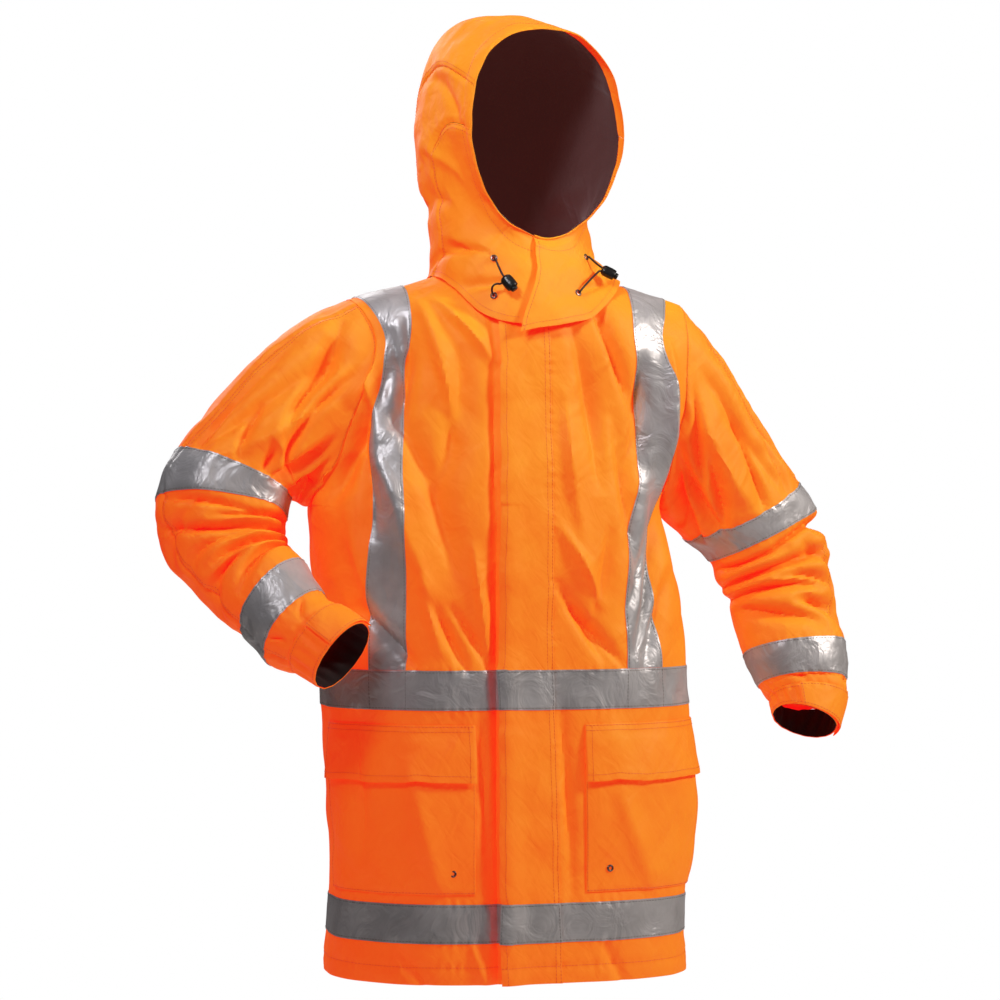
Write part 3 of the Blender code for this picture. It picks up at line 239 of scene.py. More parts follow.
SLEEVE_TABLES = {
    Side.RIGHT: Table(SLEEVE_NAMES, (
        (0, -208, 0, -4, -260, 0, -270, 88),
        (1, -280, 0, -41, -269, 0, -269, 88),
        (2, -358, 3, -116, -276, -2, -266, 84),
        (3, -429, 0, -198, -283, -10, -263, 78),
        (4, -453, -10, -262, -290, -20, -287, 74),
        (5, -449, -26, -326, -289, -35, -308, 71),
        (6, -403, -55, -388, -283, -55, -328, 64),
        (7, -356, -92, -430, -275, -85, -343, 57),
        (8, -329, -118, -461, -256, -115, -382, 52),
        (9, -304, -137, -473, -238, -135, -396, 48),
        (10, -272, -158, -493, -211, -160, -417, 48),
    ), ("station",)),
    Side.LEFT: Table(SLEEVE_NAMES, (
        (0, 222, 0, -5, 199, 0, -270, 88),
        (1, 270, 0, -56, 207, 0, -282, 88),
        (2, 334, 6, -146, 218, 5, -293, 84),
        (3, 393, 14, -236, 246, 14, -314, 78),
        (4, 417, 15, -276, 280, 15, -343, 73),
        (5, 434, 9, -330, 287, 10, -372, 69),
        (6, 441, -4, -392, 302, 0, -408, 63),
        (7, 448, -22, -451, 314, -18, -463, 58),
        (8, 444, -37, -502, 333, -31, -503, 53),
        (9, 442, -46, -524, 341, -40, -517, 50),
        (10, 424, -60, -566, 345, -54, -535, 46),
    ), ("station",)),
}
HOOD_RINGS = Table(
    ("ring", "front_y", "front_z", "back_y", "back_z", "half_right", "half_left",
     "lift", "turn", "crown_angle", "front_round", "back_round"),
    (
        (0, -143, -40, 122, -30, 104, 140, 52, 4, 118, 2.3, 2.2),
        (1, -140, -30, 115, -4, 102, 128, 50, 6, 118, 2.3, 2.2),
        (2, -135, -18, 103, 28, 102, 113, 46, 9, 119, 2.3, 2.2),
        (3, -129, -4, 98, 60, 102, 104, 36, 12, 120, 2.3, 2.2),
        (4, -124, 11, 101, 98, 103, 101, 24, 15, 122, 2.3, 2.3),
        (5, -119, 24, 111, 140, 104, 103, 12, 17, 124, 2.3, 2.4),
        (6, -114, 35, 121, 190, 104, 103, 4, 18, 125, 2.3, 2.5),
        (7, -110, 44, 124, 240, 104, 103, 0, 18, 124, 2.2, 2.6),
        (8, -107, 51, 117, 291, 104, 105, 0, 18, 122, 2.1, 2.75),
        (9, -105, 56, 94, 333, 106, 108, 0, 18, 120, 2, 2.8),
        (10, -103, 60, 54, 359, 109, 111, 0, 18, 117, 1.95, 2.65),
        (11, -101, 64, 6, 367, 111, 113, 0, 18, 114, 1.9, 2.5),
        (12, -100, 67, -48, 354, 112, 114, 0, 18, 112, 1.85, 2.4),
        (13, -99, 70, -104, 334, 112, 114, 0, 18, 110, 1.8, 2.35),
    ),
    ("ring", "turn", "crown_angle", "front_round", "back_round"),
)


@dataclass(frozen=True)
class Creases:
    """Soft troughs (-) and ridges (+) from one place of a surface's chart to another.

    A row holds the two coordinates of the start and of the end, then the half width, the height
    or depth and the sideways bend in millimetres, and last how far it leans to a side.  scale is
    the metres for one unit of each coordinate, unit what the rows' places are divided by, and
    period the length after which the first coordinate repeats, if it does.
    """

    rows: tuple[Row, ...]
    scale: tuple[float, float] = (1.0, 1.0)
    unit: float = 1.0
    period: float | None = None
    narrowing: float = 0.68
    point: float = 1.45

    def relief(self, a: Array, b: Array, gain: float) -> Array:
        """Height of all creases over the chart.

        Each one is a bell across a bowed line, leaned to one side, that swells from nothing at
        its start to full in its middle and dies away at its end.

        Args:
            a: First chart coordinate of each point.
            b: Second chart coordinate of each point.
            gain: What all depths are multiplied by.

        Returns:
            The height at each point, in metres.
        """
        total = np.zeros(np.broadcast(a, b).shape)
        for row in self.rows:
            a0, b0, a1, b1 = (place / self.unit for place in row[:4])
            width, depth, bow = (size / PER_METRE for size in row[4:7])
            along_a = a - a0
            if self.period is not None:
                along_a = (along_a + 0.5 * self.period) % self.period - 0.5 * self.period
            p = along_a * self.scale[0]
            q = (b - b0) * self.scale[1]
            run = np.array([(a1 - a0) * self.scale[0], (b1 - b0) * self.scale[1]])
            length = float(np.hypot(*run))
            ux, uy = run / length
            t = (p * ux + q * uy) / length
            on = clamp(t)
            aside = q * ux - p * uy - 4.0 * bow * on * (1.0 - on)
            swell = np.sin(math.pi * clamp((t + 0.15) / 1.3)) ** 0.8
            across = aside / (self.narrowing * width)
            bell = np.exp(-np.abs(across) ** self.point)
            lean = 1.0 + row[7] * np.clip(across, -2.0, 2.0)
            total = total + gain * depth * swell * (bell * lean)
        return total


# The body's chart is across and up in millimetres; a sleeve's is degrees round the arm (0 inner,
# 90 front, 180 outer) and stations; the hood's is degrees (0 front, minus to the right) and rings.
FRONT_CREASES = Creases((
    (-206, -40, -193, -175, 13, 11, 3, 0.3), (-168, -60, -163, -170, 12, -6, 2, 0.3),
    (-212, -175, -196, -300, 14, -7, 3, 0.4), (190, -80, 177, -265, 13, 9, 3, 0.3),
    (152, -90, 150, -220, 12, -6, 3, 0.3), (182, -280, 140, -440, 15, -7, 4, 0.4),
    (-176, -100, -238, -250, 16, -10, 0, 0.5), (-205, -180, -150, -330, 20, 6, 6, 0),
    (-150, -40, -170, -160, 14, -7, 4, 0.6), (-130, -25, -98, -170, 14, 6, 4, 0.9),
    (-112, -12, -50, -85, 11, 5, 2, 0.6), (-90, -90, -120, -250, 20, -6, 6, 0.4),
    (-170, -160, -105, -340, 20, -7, 8, 0.5), (-225, -270, -180, -420, 18, 5, -6, 0.4),
    (-145, -330, -118, -445, 13, 5, 0, 0.5), (-132, -385, -88, -470, 10, -6, 0, 0.4),
    (-102, -400, -60, -468, 9, -5, 3, 0.4), (-75, -330, -60, -440, 10, 4, 0, 0.5),
    (-205, -400, -150, -466, 11, -6, 0, 0.5), (-47, -100, -47, -900, 11, -6, 0, 0.3),
    (87, -12, 135, -140, 13, -9, 0, 0.8), (55, -45, 85, -230, 17, -6, 5, 0.4),
    (45, -140, 62, -300, 14, 4, -4, 0.5), (112, -170, 140, -345, 17, -7, 0, 0.4),
    (150, -100, 128, -230, 15, -6, 5, 0.4), (185, -210, 125, -400, 20, -6, 10, 0.3),
    (36, -300, 86, -390, 10, 5, 3, 0.5), (32, -370, 90, -460, 11, -6, 0, 0.5),
    (56, -405, 115, -468, 9, -5, 0, 0.4), (100, -300, 75, -420, 13, -4, 4, 0.5),
    (190, -360, 150, -465, 12, -5, 0, 0.5), (-67, -540, -57, -750, 10, -4, 0, 0.3),
    (36, -535, 48, -750, 10, -4, 2, 0.3), (-150, -600, -120, -740, 20, 4, 0, 0),
    (-215, -545, -205, -700, 14, -4, 4, 0.4), (110, -630, 150, -740, 20, 4, 0, 0),
    (-170, -820, -130, -875, 12, -3, 0, 0.4), (-80, -815, -60, -875, 12, 3, 0, 0.4),
    (90, -820, 120, -875, 12, -3, 0, 0.4),
), unit=PER_METRE)
BACK_CREASES = Creases((
    (-170, -120, -110, -260, 20, -7, 5, 0.4), (165, -130, 115, -270, 22, -7, -5, 0.4),
    (-115, -60, -70, -200, 18, -5, 4, 0.4), (105, -70, 50, -230, 16, -5, 4, 0.4),
    (-60, -300, -40, -460, 18, -6, 10, 0.3), (70, -330, 50, -462, 16, -5, -8, 0.3),
    (-190, -380, -120, -466, 14, -6, 0, 0.3), (190, -380, 130, -464, 14, -6, 0, 0.3),
    (10, -390, 0, -468, 11, -4, 3, 0.3), (-95, -540, -110, -740, 18, -5, 6, 0.3),
    (30, -540, 50, -700, 16, -4, -6, 0.3), (140, -550, 125, -750, 20, -5, 6, 0.3),
    (-40, -600, -20, -850, 20, 4, 0, 0.3),
), unit=PER_METRE)
SLEEVE_CREASES = {
    Side.RIGHT: Creases((
        (150, 0.4, 112, 1, 10, -7, 0, 0.6), (132, 0.8, 88, 1.7, 11, -8, 3, 0.6),
        (108, 0.4, 62, 2.2, 10, -9, -3, 0.6), (58, 0.25, 18, 2, 12, -10, 3, 0.5),
        (122, 2, 96, 2.9, 8, -5, 0, 0.5), (86, 2.1, 70, 2.95, 8, -6, 0, 0.5),
        (150, 2.3, 140, 2.95, 9, -4, 0, 0.4), (152, 4.15, 72, 4.5, 9, -5, 3, 0.5),
        (166, 4.7, 96, 5.1, 10, -5, -3, 0.5), (150, 5.6, 80, 5.35, 9, -5, 3, 0.5),
        (160, 6.2, 92, 6.05, 9, -5, 0, 0.5), (70, 0.3, 58, 2.9, 13, -10, 4, 0.8),
        (45, 0.3, 26, 2.9, 12, -11, -3, 0.8), (95, 0.4, 100, 2.7, 14, 6, 6, 0.4),
        (120, 0.7, 132, 2.9, 16, -6, 4, 0.4), (150, 1.2, 152, 2.8, 14, -4, 4, 0.4),
        (15, 4.2, 95, 4.7, 11, -6, 4, 0.5), (10, 5, 118, 5, 12, -9, 4, 0.5),
        (12, 5.5, 125, 5.8, 11, -9, -3, 0.5), (20, 5.9, 110, 6.7, 11, -7, 0, 0.5),
        (120, 4.3, 175, 5.2, 12, -5, 3, 0.5), (100, 6, 170, 6.4, 11, -5, 0, 0.5),
        (60, 8.1, 90, 8.9, 8, -3, 0, 0.4), (130, 8.1, 120, 8.9, 8, -3, 0, 0.4),
        (250, 0.5, 290, 2.8, 18, -9, 5, 0.4), (215, 0.8, 230, 2.6, 16, -6, 5, 0.4),
        (310, 0.5, 335, 2.7, 14, -9, 0, 0.4), (345, 5.1, 240, 4.7, 14, -8, 5, 0.4),
        (350, 5.6, 235, 5.8, 14, -8, -4, 0.4), (330, 6.1, 260, 6.7, 12, -6, 0, 0.4),
    ), (0.00125, 0.055), period=360.0),
    Side.LEFT: Creases((
        (100, 0.4, 66, 1.6, 11, -8, 3, 0.6), (84, 1.2, 60, 2.8, 10, -9, -3, 0.6),
        (60, 0.3, 20, 2.1, 12, -10, 3, 0.5), (118, 1.7, 96, 2.9, 9, -6, 0, 0.5),
        (146, 2.1, 130, 2.95, 9, -4, 0, 0.4), (150, 4.2, 76, 4.6, 9, -6, 3, 0.5),
        (166, 4.9, 100, 5.2, 10, -5, -3, 0.5), (150, 5.8, 84, 5.5, 9, -6, 3, 0.5),
        (158, 6.3, 96, 6.2, 9, -5, 0, 0.5), (66, 0.3, 52, 2.9, 13, -9, 4, 0.8),
        (42, 0.3, 24, 2.9, 12, -10, -3, 0.8), (92, 0.5, 88, 2.7, 14, 6, 6, 0.4),
        (118, 0.7, 124, 2.8, 16, -6, 4, 0.4), (150, 1, 160, 2.6, 14, -5, 4, 0.4),
        (140, 4.3, 200, 4.35, 13, -11, 0, 0.5), (15, 4.4, 90, 4.6, 11, -6, 4, 0.5),
        (10, 5.2, 118, 5, 12, -9, 4, 0.5), (12, 5.7, 125, 5.8, 11, -9, -3, 0.5),
        (20, 6.1, 110, 6.6, 11, -7, 0, 0.5), (120, 4.8, 172, 5.4, 12, -5, 3, 0.5),
        (100, 6.1, 165, 6.5, 11, -5, 0, 0.5), (60, 8.1, 80, 8.9, 8, -3, 0, 0.4),
        (150, 8.1, 140, 8.9, 8, -3, 0, 0.4), (240, 0.5, 285, 2.8, 18, -9, 5, 0.4),
        (210, 0.8, 225, 2.6, 16, -6, 5, 0.4), (310, 0.5, 335, 2.7, 14, -9, 0, 0.4),
        (345, 5.2, 240, 4.8, 14, -8, 5, 0.4), (350, 5.7, 235, 5.8, 14, -8, -4, 0.4),
        (330, 6.2, 260, 6.7, 12, -6, 0, 0.4),
    ), (0.00125, 0.055), period=360.0),
}
HOOD_CREASES = Creases((
    (-55, 1, -34, 3.4, 13, -3, 3, 0.4), (60, 1.4, 30, 3.6, 14, -3, 0, 0.4),
    (-95, 1.2, -62, 4.2, 15, -4, 4, 0.5), (-80, 3.2, -50, 5.4, 13, -4, 2, 0.6),
    (-110, 4.5, -78, 7, 18, -4, 4, 0.4), (-100, 7.5, -70, 9.5, 16, 3, 3, 0.4),
    (-118, 9, -90, 12, 14, -3, 3, 0.4), (100, 2.4, 70, 4.4, 18, -4, 0, 0.3),
    (115, 5, 80, 8, 18, -4, 4, 0.3), (-150, 3, -120, 5, 20, -5, 0, 0.3),
    (150, 3, 130, 5, 20, -5, 0, 0.3), (175, 4, 165, 7, 20, -4, 3, 0.3),
), (0.0018, 0.045), period=360.0)


@dataclass(frozen=True)
class Crumple:
    """Uneven hollows of handled cloth: plane waves of random direction, bent by slower ones."""

    seed: int
    wavelength: float
    height: float
    waves: int = 14
    sharpness: float = 0.75

    def at(self, points: Array) -> Array:
        """Height of the crumple at points in space.

        Args:
            points: Places, with X, Y and Z in their last axis.

        Returns:
            A height for each place, in metres, even about nothing.
        """
        source = np.random.default_rng(self.seed)
        total = np.zeros(points.shape[:-1])
        slow = source.normal(size=(3, 3))
        slow = slow / np.linalg.norm(slow, axis=1, keepdims=True)
        bend = np.sin(points @ (slow.T * 2.0 * math.pi / (3.1 * self.wavelength)))
        for _ in range(self.waves):
            heading = source.normal(size=3)
            heading = heading / np.linalg.norm(heading)
            pace = 2.0 * math.pi / (self.wavelength * source.uniform(0.6, 1.7))
            phase = source.uniform(0.0, 2.0 * math.pi)
            wave = np.sin(points @ (heading * pace) + phase + bend @ source.uniform(-2.0, 2.0, 3))
            total += np.sign(wave) * np.abs(wave) ** (1.0 / self.sharpness)
        return self.height * total / math.sqrt(0.5 * self.waves)


# --- Grids and shells ---

def subdivide(marks: Sequence[float], lengths: Sequence[float], pitch: float) -> Array:
    """Grid coordinates from mark to mark, with steps of about one pitch.

    Args:
        marks: Coordinates that must be on the grid, rising.
        lengths: Real length between neighbouring marks, in metres.
        pitch: Wanted step, in metres.

    Returns:
        All coordinates, rising, the marks among them.
    """
    runs = []
    for start, end, length in zip(marks, marks[1:], lengths):
        count = max(1, round(length / pitch))
        runs.append(np.linspace(start, end, count, endpoint=False))
    return np.concatenate(runs + [np.array([marks[-1]])])


def lattice(coarse: Array, rows: Array, columns: Array, pitch: float) -> tuple[Array, Array]:
    """Fine row and column coordinates for a surface known at some rows and columns.

    Args:
        coarse: The surface's points there.
        rows: The rows, rising.
        columns: The columns, rising.
        pitch: Wanted step, in metres.

    Returns:
        Row coordinates, then column coordinates, the given ones among them.
    """
    lengths_r = spans(coarse, 0).max(axis=1)
    lengths_c = spans(coarse, 1).max(axis=0)
    return subdivide(rows, lengths_r, pitch), subdivide(columns, lengths_c, pitch)


def unit(vectors: Array) -> Array:
    """Vectors scaled to length one."""
    return vectors / np.maximum(np.linalg.norm(vectors, axis=-1, keepdims=True), 1e-12)


def spans(points: Array, axis: int) -> Array:
    """Distances between neighbouring points along an axis."""
    return np.linalg.norm(np.diff(points, axis=axis), axis=-1)


def clamp(values: Array | float) -> Array:
    """Values kept between nothing and one."""
    return np.clip(values, 0.0, 1.0)


def smoothstep(share: Array) -> Array:
    """A share that starts and ends gently."""
    return share ** 2 * (3.0 - 2.0 * share)


def rounded_off(value: Array, power: Array | float) -> Array:
    """A cosine or sine raised to a power, with its sign kept: the side of a superellipse."""
    return np.sign(value) * np.abs(value) ** power


def between(values: Array, ends: Sequence[float]) -> Array:
    """Places of the values that lie between two ends, the ends among them."""
    return np.nonzero((values > ends[0] - TINY) & (values < ends[1] + TINY))[0]


@dataclass
class Grid:
    """A fine grid of points on a surface, with its outward normals and its coordinates."""

    points: Array
    rows: Array
    columns: Array
    outward: Array | None = None
    closed: bool = False
    normals: Array | None = None

    def __post_init__(self) -> None:
        """Find the normals, if none are given, and turn them to face outwards."""
        if self.normals is not None:
            return
        points = self.points
        if self.closed:
            points = np.concatenate([points[:, -1:], points, points[:, :1]], axis=1)
        down = np.gradient(points, axis=0)
        across = np.gradient(points, axis=1)
        normals = np.cross(across, down)
        if self.closed:
            normals = normals[:, 1:-1]
        normals = unit(normals)
        agree = np.sum(normals * self.outward)
        self.normals = normals if agree > 0.0 else -normals

    def raised(self, height: Array | float) -> "Grid":
        """The same grid moved out along its normals by a height."""
        shape = self.points.shape[:2]
        lifted = self.points + self.normals * np.broadcast_to(height, shape)[..., None]
        return Grid(lifted, self.rows, self.columns, self.normals, self.closed)

    def cut(self, rows: tuple[float, float], columns: tuple[float, float]) -> "Grid":
        """The part of the grid between two rows and two columns.

        Args:
            rows: First and last row coordinate.
            columns: First and last column coordinate.

        Returns:
            The smaller grid, with this grid's normals.
        """
        r = between(self.rows, rows)
        c = between(self.columns, columns)
        block = np.ix_(r, c)
        return Grid(self.points[block], self.rows[r], self.columns[c],
                    normals=self.normals[block])

    def opened(self) -> "Grid":
        """A closed grid with its first column repeated at a full turn, left open."""
        points, normals = (np.concatenate([part, part[:, :1]], axis=1)
                           for part in (self.points, self.normals))
        return Grid(points, self.rows, np.append(self.columns, 360.0), normals=normals)

    def along(self, rows: Array, columns: Array, height: Array | float = 0.0) -> Array:
        """Points of the surface along a path, read between the grid's own.

        Args:
            rows: Row coordinate of each point.
            columns: Column coordinate of each point.
            height: Distance along the normal.

        Returns:
            The points, then the normals, stacked on the first axis.
        """
        r = np.interp(rows, self.rows, np.arange(len(self.rows)))
        c = np.interp(columns, self.columns, np.arange(len(self.columns)))
        i = np.clip(r.astype(int), 0, len(self.rows) - 2)
        j = np.clip(c.astype(int), 0, len(self.columns) - 2)
        u = (r - i)[:, None]
        v = (c - j)[:, None]

        def mix(field_: Array) -> Array:
            low = field_[i, j] * (1.0 - v) + field_[i, j + 1] * v
            high = field_[i + 1, j] * (1.0 - v) + field_[i + 1, j + 1] * v
            return low * (1.0 - u) + high * u

        normals = unit(mix(self.normals))
        points = mix(self.points) + normals * np.broadcast_to(height, len(r))[:, None]
        return np.stack([points, normals])

    def across(self, rows: Array, columns: Array) -> tuple[Array, Array]:
        """Points and normals at every pairing of some rows and columns."""
        stack = [self.along(np.full(len(columns), row), columns) for row in rows]
        points, normals = np.swapaxes(np.array(stack), 0, 1)
        return points, normals

    def beside(self, edge: Edge, inset: float) -> Array:
        """A line that runs beside one of the grid's edges.

        Args:
            edge: The edge.
            inset: Distance from it, in metres.

        Returns:
            The line's points, then its normals, stacked on the first axis.
        """
        u, v = self.metres()
        if edge in (Edge.FIRST, Edge.LAST):
            turned = edge is Edge.LAST
            reach = u[:, -1:] - u if turned else u
            marks = self.columns
        else:
            turned = edge is Edge.HIGH
            reach = (v[-1:] - v if turned else v).T
            marks = self.rows
        step = -1 if turned else 1
        place = np.array([np.interp(inset, line[::step], marks[::step]) for line in reach])
        if edge in (Edge.FIRST, Edge.LAST):
            return self.along(self.rows, place)
        return self.along(place, self.columns)

    def metres(self) -> tuple[Array, Array]:
        """Lengths along the rows and up the columns, from the grid's first corner."""
        across = spans(self.points, 1)
        upward = spans(self.points, 0)
        zero = np.zeros((len(self.rows), 1))
        u = np.concatenate([zero, np.cumsum(across, axis=1)], axis=1)
        v = np.concatenate([zero.T[:, :1] * np.ones((1, len(self.columns))),
                            np.cumsum(upward, axis=0)], axis=0)
        return u, v


@dataclass(frozen=True)
class Seam:
    """A sewn line in a grid: a row or column, from one place on it to another.

    Its groove is the depth to which the thread pulls the cloth in.
    """

    kind: str
    at: float
    low: float
    high: float
    groove: float = 0.0


def seam_relief(grid: Grid, seams: Sequence[Seam], pull: float, wavelength: float = 13.0 * MM,
                reach: float = 7.0 * MM) -> Array:
    """Even gathers and the groove that sewn lines draw into the cloth beside them.

    The gathers are a wave along the line times a bell across it; the groove is a narrow bell
    with a low swelling beside it, where the turned-in edges lie below the cloth.

    Args:
        grid: The surface.
        seams: The sewn lines.
        pull: Height of the gathers.
        wavelength: Their spacing.
        reach: How far from the line they die away.

    Returns:
        Height over the grid.
    """
    u, v = grid.metres()
    total = np.zeros(u.shape)
    for seam in seams:
        marks, others = grid.rows, grid.columns
        if seam.kind == "column":
            marks, others = others, marks
        if not marks[0] - TINY <= seam.at <= marks[-1] + TINY:
            continue
        index = int(np.argmin(np.abs(marks - seam.at)))
        on = ((others > seam.low - TINY) & (others < seam.high + TINY)).astype(float)
        if seam.kind == "row":
            away = np.abs(v - v[index][None, :])
            run = u
            on = on[None, :]
        else:
            away = np.abs(u - u[:, index][:, None])
            run = v
            on = on[:, None]
        wave = np.sin(2.0 * math.pi * run / wavelength + 1.3 * np.sin(run / (3.1 * wavelength)))
        wave = wave * (0.6 + 0.4 * np.sin(2.0 * math.pi * run / (5.3 * wavelength)))
        total = total + on * pull * wave * np.exp(-((away / reach) ** 2))
        dip = np.exp(-((away / (0.45 * reach)) ** 2))
        swell = np.exp(-(((away - 1.2 * reach) / (0.6 * reach)) ** 2))
        total = total + on * seam.groove * (0.5 * swell - dip)
    return total


def new_object(name: str, data: bpy.types.ID) -> Item:
    """Put an object with some data into the scene."""
    made = bpy.data.objects.new(name, data)
    bpy.context.scene.collection.objects.link(made)
    return made


def new_mesh(name: str, vertices: Array, faces: Array, finish: Material,
             uv: Array | None = None, sharp: float = 50.0) -> Item:
    """Make an object at the origin from arrays of vertices and quads.

    Args:
        name: The object's name.
        vertices: One row of X, Y, Z for each vertex.
        faces: One row of four vertex numbers for each face.
        finish: Its material.
        uv: One row of U, V for each vertex, in metres.
        sharp: Edges that bend more than this many degrees stay sharp.

    Returns:
        The new object, linked to the scene.
    """
    faces = np.asarray(faces, dtype=np.int32)
    sides = faces.shape[1]
    mesh = bpy.data.meshes.new(name)
    mesh.vertices.add(len(vertices))
    mesh.vertices.foreach_set("co", np.asarray(vertices, dtype=np.float32).ravel())
    mesh.loops.add(faces.size)
    mesh.loops.foreach_set("vertex_index", faces.ravel())
    mesh.polygons.add(len(faces))
    mesh.polygons.foreach_set("loop_start", np.arange(0, faces.size, sides, dtype=np.int32))
    mesh.update(calc_edges=True)
    mesh.validate()
    if uv is not None:
        layer = mesh.uv_layers.new(name="cloth")
        layer.data.foreach_set("uv", np.asarray(uv, dtype=np.float32)[faces.ravel()].ravel())
    mesh.materials.append(finish)
    mesh.shade_smooth()
    mesh.set_sharp_from_angle(angle=math.radians(sharp))
    return new_object(name, mesh)


@dataclass
class Shell:
    """A thin closed wall over a grid, or over a mask of its cells, drawn in at its border."""

    grid: Grid
    outer: Array | float
    thickness: float
    cells: Array | None = None
    trim: float = 0.12 * MM
    soften: float = 0.3

    def build(self, name: str, finish: Material) -> Item:
        """Make the wall.

        The outer and inner layers are the grid moved along its normals.  Border points are drawn
        in along the surface by the seam's half gap, and the layers close up a little there, as a
        turned edge does.

        Args:
            name: The object's name.
            finish: Its material.

        Returns:
            The new object.
        """
        grid = self.grid
        count_r, count_c = grid.points.shape[:2]
        wide = count_c if grid.closed else count_c - 1
        cells = self.cells if self.cells is not None else np.ones((count_r - 1, wide), bool)
        i, j = np.nonzero(cells)
        k = (j + 1) % count_c
        corners = np.stack([i * count_c + j, i * count_c + k,
                            (i + 1) * count_c + k, (i + 1) * count_c + j], axis=1)
        ring = np.zeros((count_r + 1, wide + 2), dtype=bool)
        ring[1:count_r, 1:wide + 1] = cells
        if grid.closed:
            ring[:, 0] = ring[:, wide]
            ring[:, wide + 1] = ring[:, 1]
        edges = []
        owners = []
        steps = ((0, 1, -1, 0), (1, 2, 0, 1), (2, 3, 1, 0), (3, 0, 0, -1))
        for start, end, up, over in steps:
            free = ~ring[i + 1 + up, j + 1 + over]
            edges.append(corners[free][:, [start, end]])
            owners.append(corners[free])
        edges = np.concatenate(edges)
        owners = np.concatenate(owners)
        flat = grid.points.reshape(-1, 3)
        normals = grid.normals.reshape(-1, 3)
        middle = flat[owners].mean(axis=1)
        inward = unit(middle - flat[edges].mean(axis=1))
        pull = np.zeros_like(flat)
        np.add.at(pull, edges[:, 0], inward)
        np.add.at(pull, edges[:, 1], inward)
        rim = np.zeros(len(flat), dtype=bool)
        rim[edges.ravel()] = True
        flat = flat.copy()
        flat[rim] += self.trim * unit(pull[rim])
        outer = np.broadcast_to(self.outer, (count_r, count_c)).reshape(-1).copy()
        inner = outer - self.thickness
        outer[rim] -= self.soften * self.thickness
        inner[rim] += self.soften * self.thickness
        u, v = grid.metres()
        uv = np.stack([u.ravel(), v.ravel()], axis=1)
        vertices = np.concatenate([flat + normals * outer[:, None],
                                   flat + normals * inner[:, None]])
        size = len(flat)
        walls = np.stack([edges[:, 1], edges[:, 0], edges[:, 0] + size, edges[:, 1] + size],
                         axis=1)
        faces = np.concatenate([corners, corners[:, ::-1] + size, walls])
        used = np.zeros(2 * size, dtype=bool)
        used[faces.ravel()] = True
        number = np.cumsum(used) - 1
        faces = number[faces]
        vertices = vertices[used]
        uv = np.concatenate([uv, uv])[used]
        first = vertices[faces[:len(corners)]]
        turn = np.cross(first[:, 2] - first[:, 0], first[:, 3] - first[:, 1])
        if np.sum(turn * normals[corners[:, 0]]) < 0.0:
            faces = faces[:, ::-1]
        return new_mesh(name, vertices, faces, finish, uv)

    def flat_size(self) -> tuple[float, float, float]:
        """Width, length and area of the piece laid flat, in metres and square metres."""
        points = self.grid.points
        if self.grid.closed:
            points = np.concatenate([points, points[:, :1]], axis=1)
        one = points[1:, 1:] - points[:-1, :-1]
        two = points[1:, :-1] - points[:-1, 1:]
        kept = 1.0 if self.cells is None else self.cells
        areas = 0.5 * np.linalg.norm(np.cross(one, two), axis=-1) * kept
        across = spans(points, 1)
        upward = spans(points, 0)
        width = (0.5 * (across[:-1] + across[1:]) * kept).sum(axis=1).max()
        length = (0.5 * (upward[:, :-1] + upward[:, 1:]) * kept).sum(axis=0).max()
        return float(width), float(length), float(areas.sum())


# --- Finishes ---

def linear(code: str) -> tuple[float, float, float, float]:
    """A colour for a shader from its sRGB hex code.

    Args:
        code: Six hex digits, red first.

    Returns:
        Linear red, green and blue, and full alpha.
    """
    parts = [int(code[place:place + 2], 16) / 255.0 for place in (0, 2, 4)]
    curve = [part / 12.92 if part <= 0.04045 else ((part + 0.055) / 1.055) ** 2.4
             for part in parts]
    return (curve[0], curve[1], curve[2], 1.0)


def add_node(tree: bpy.types.NodeTree, kind: str, settings: dict | None = None,
             values: dict | None = None, links: dict | None = None) -> bpy.types.Node:
    """Add a node to a tree.

    Args:
        tree: The material's or world's node tree.
        kind: The node's type.
        settings: Its properties by name.
        values: Its unlinked inputs by name or number.
        links: Outputs of other nodes to join to its inputs, by the input's name or number.

    Returns:
        The new node.
    """
    node = tree.nodes.new(kind)
    for name, value in (settings or {}).items():
        setattr(node, name, value)
    for name, value in (values or {}).items():
        node.inputs[name].default_value = value
    for name, source in (links or {}).items():
        tree.links.new(source, node.inputs[name])
    return node


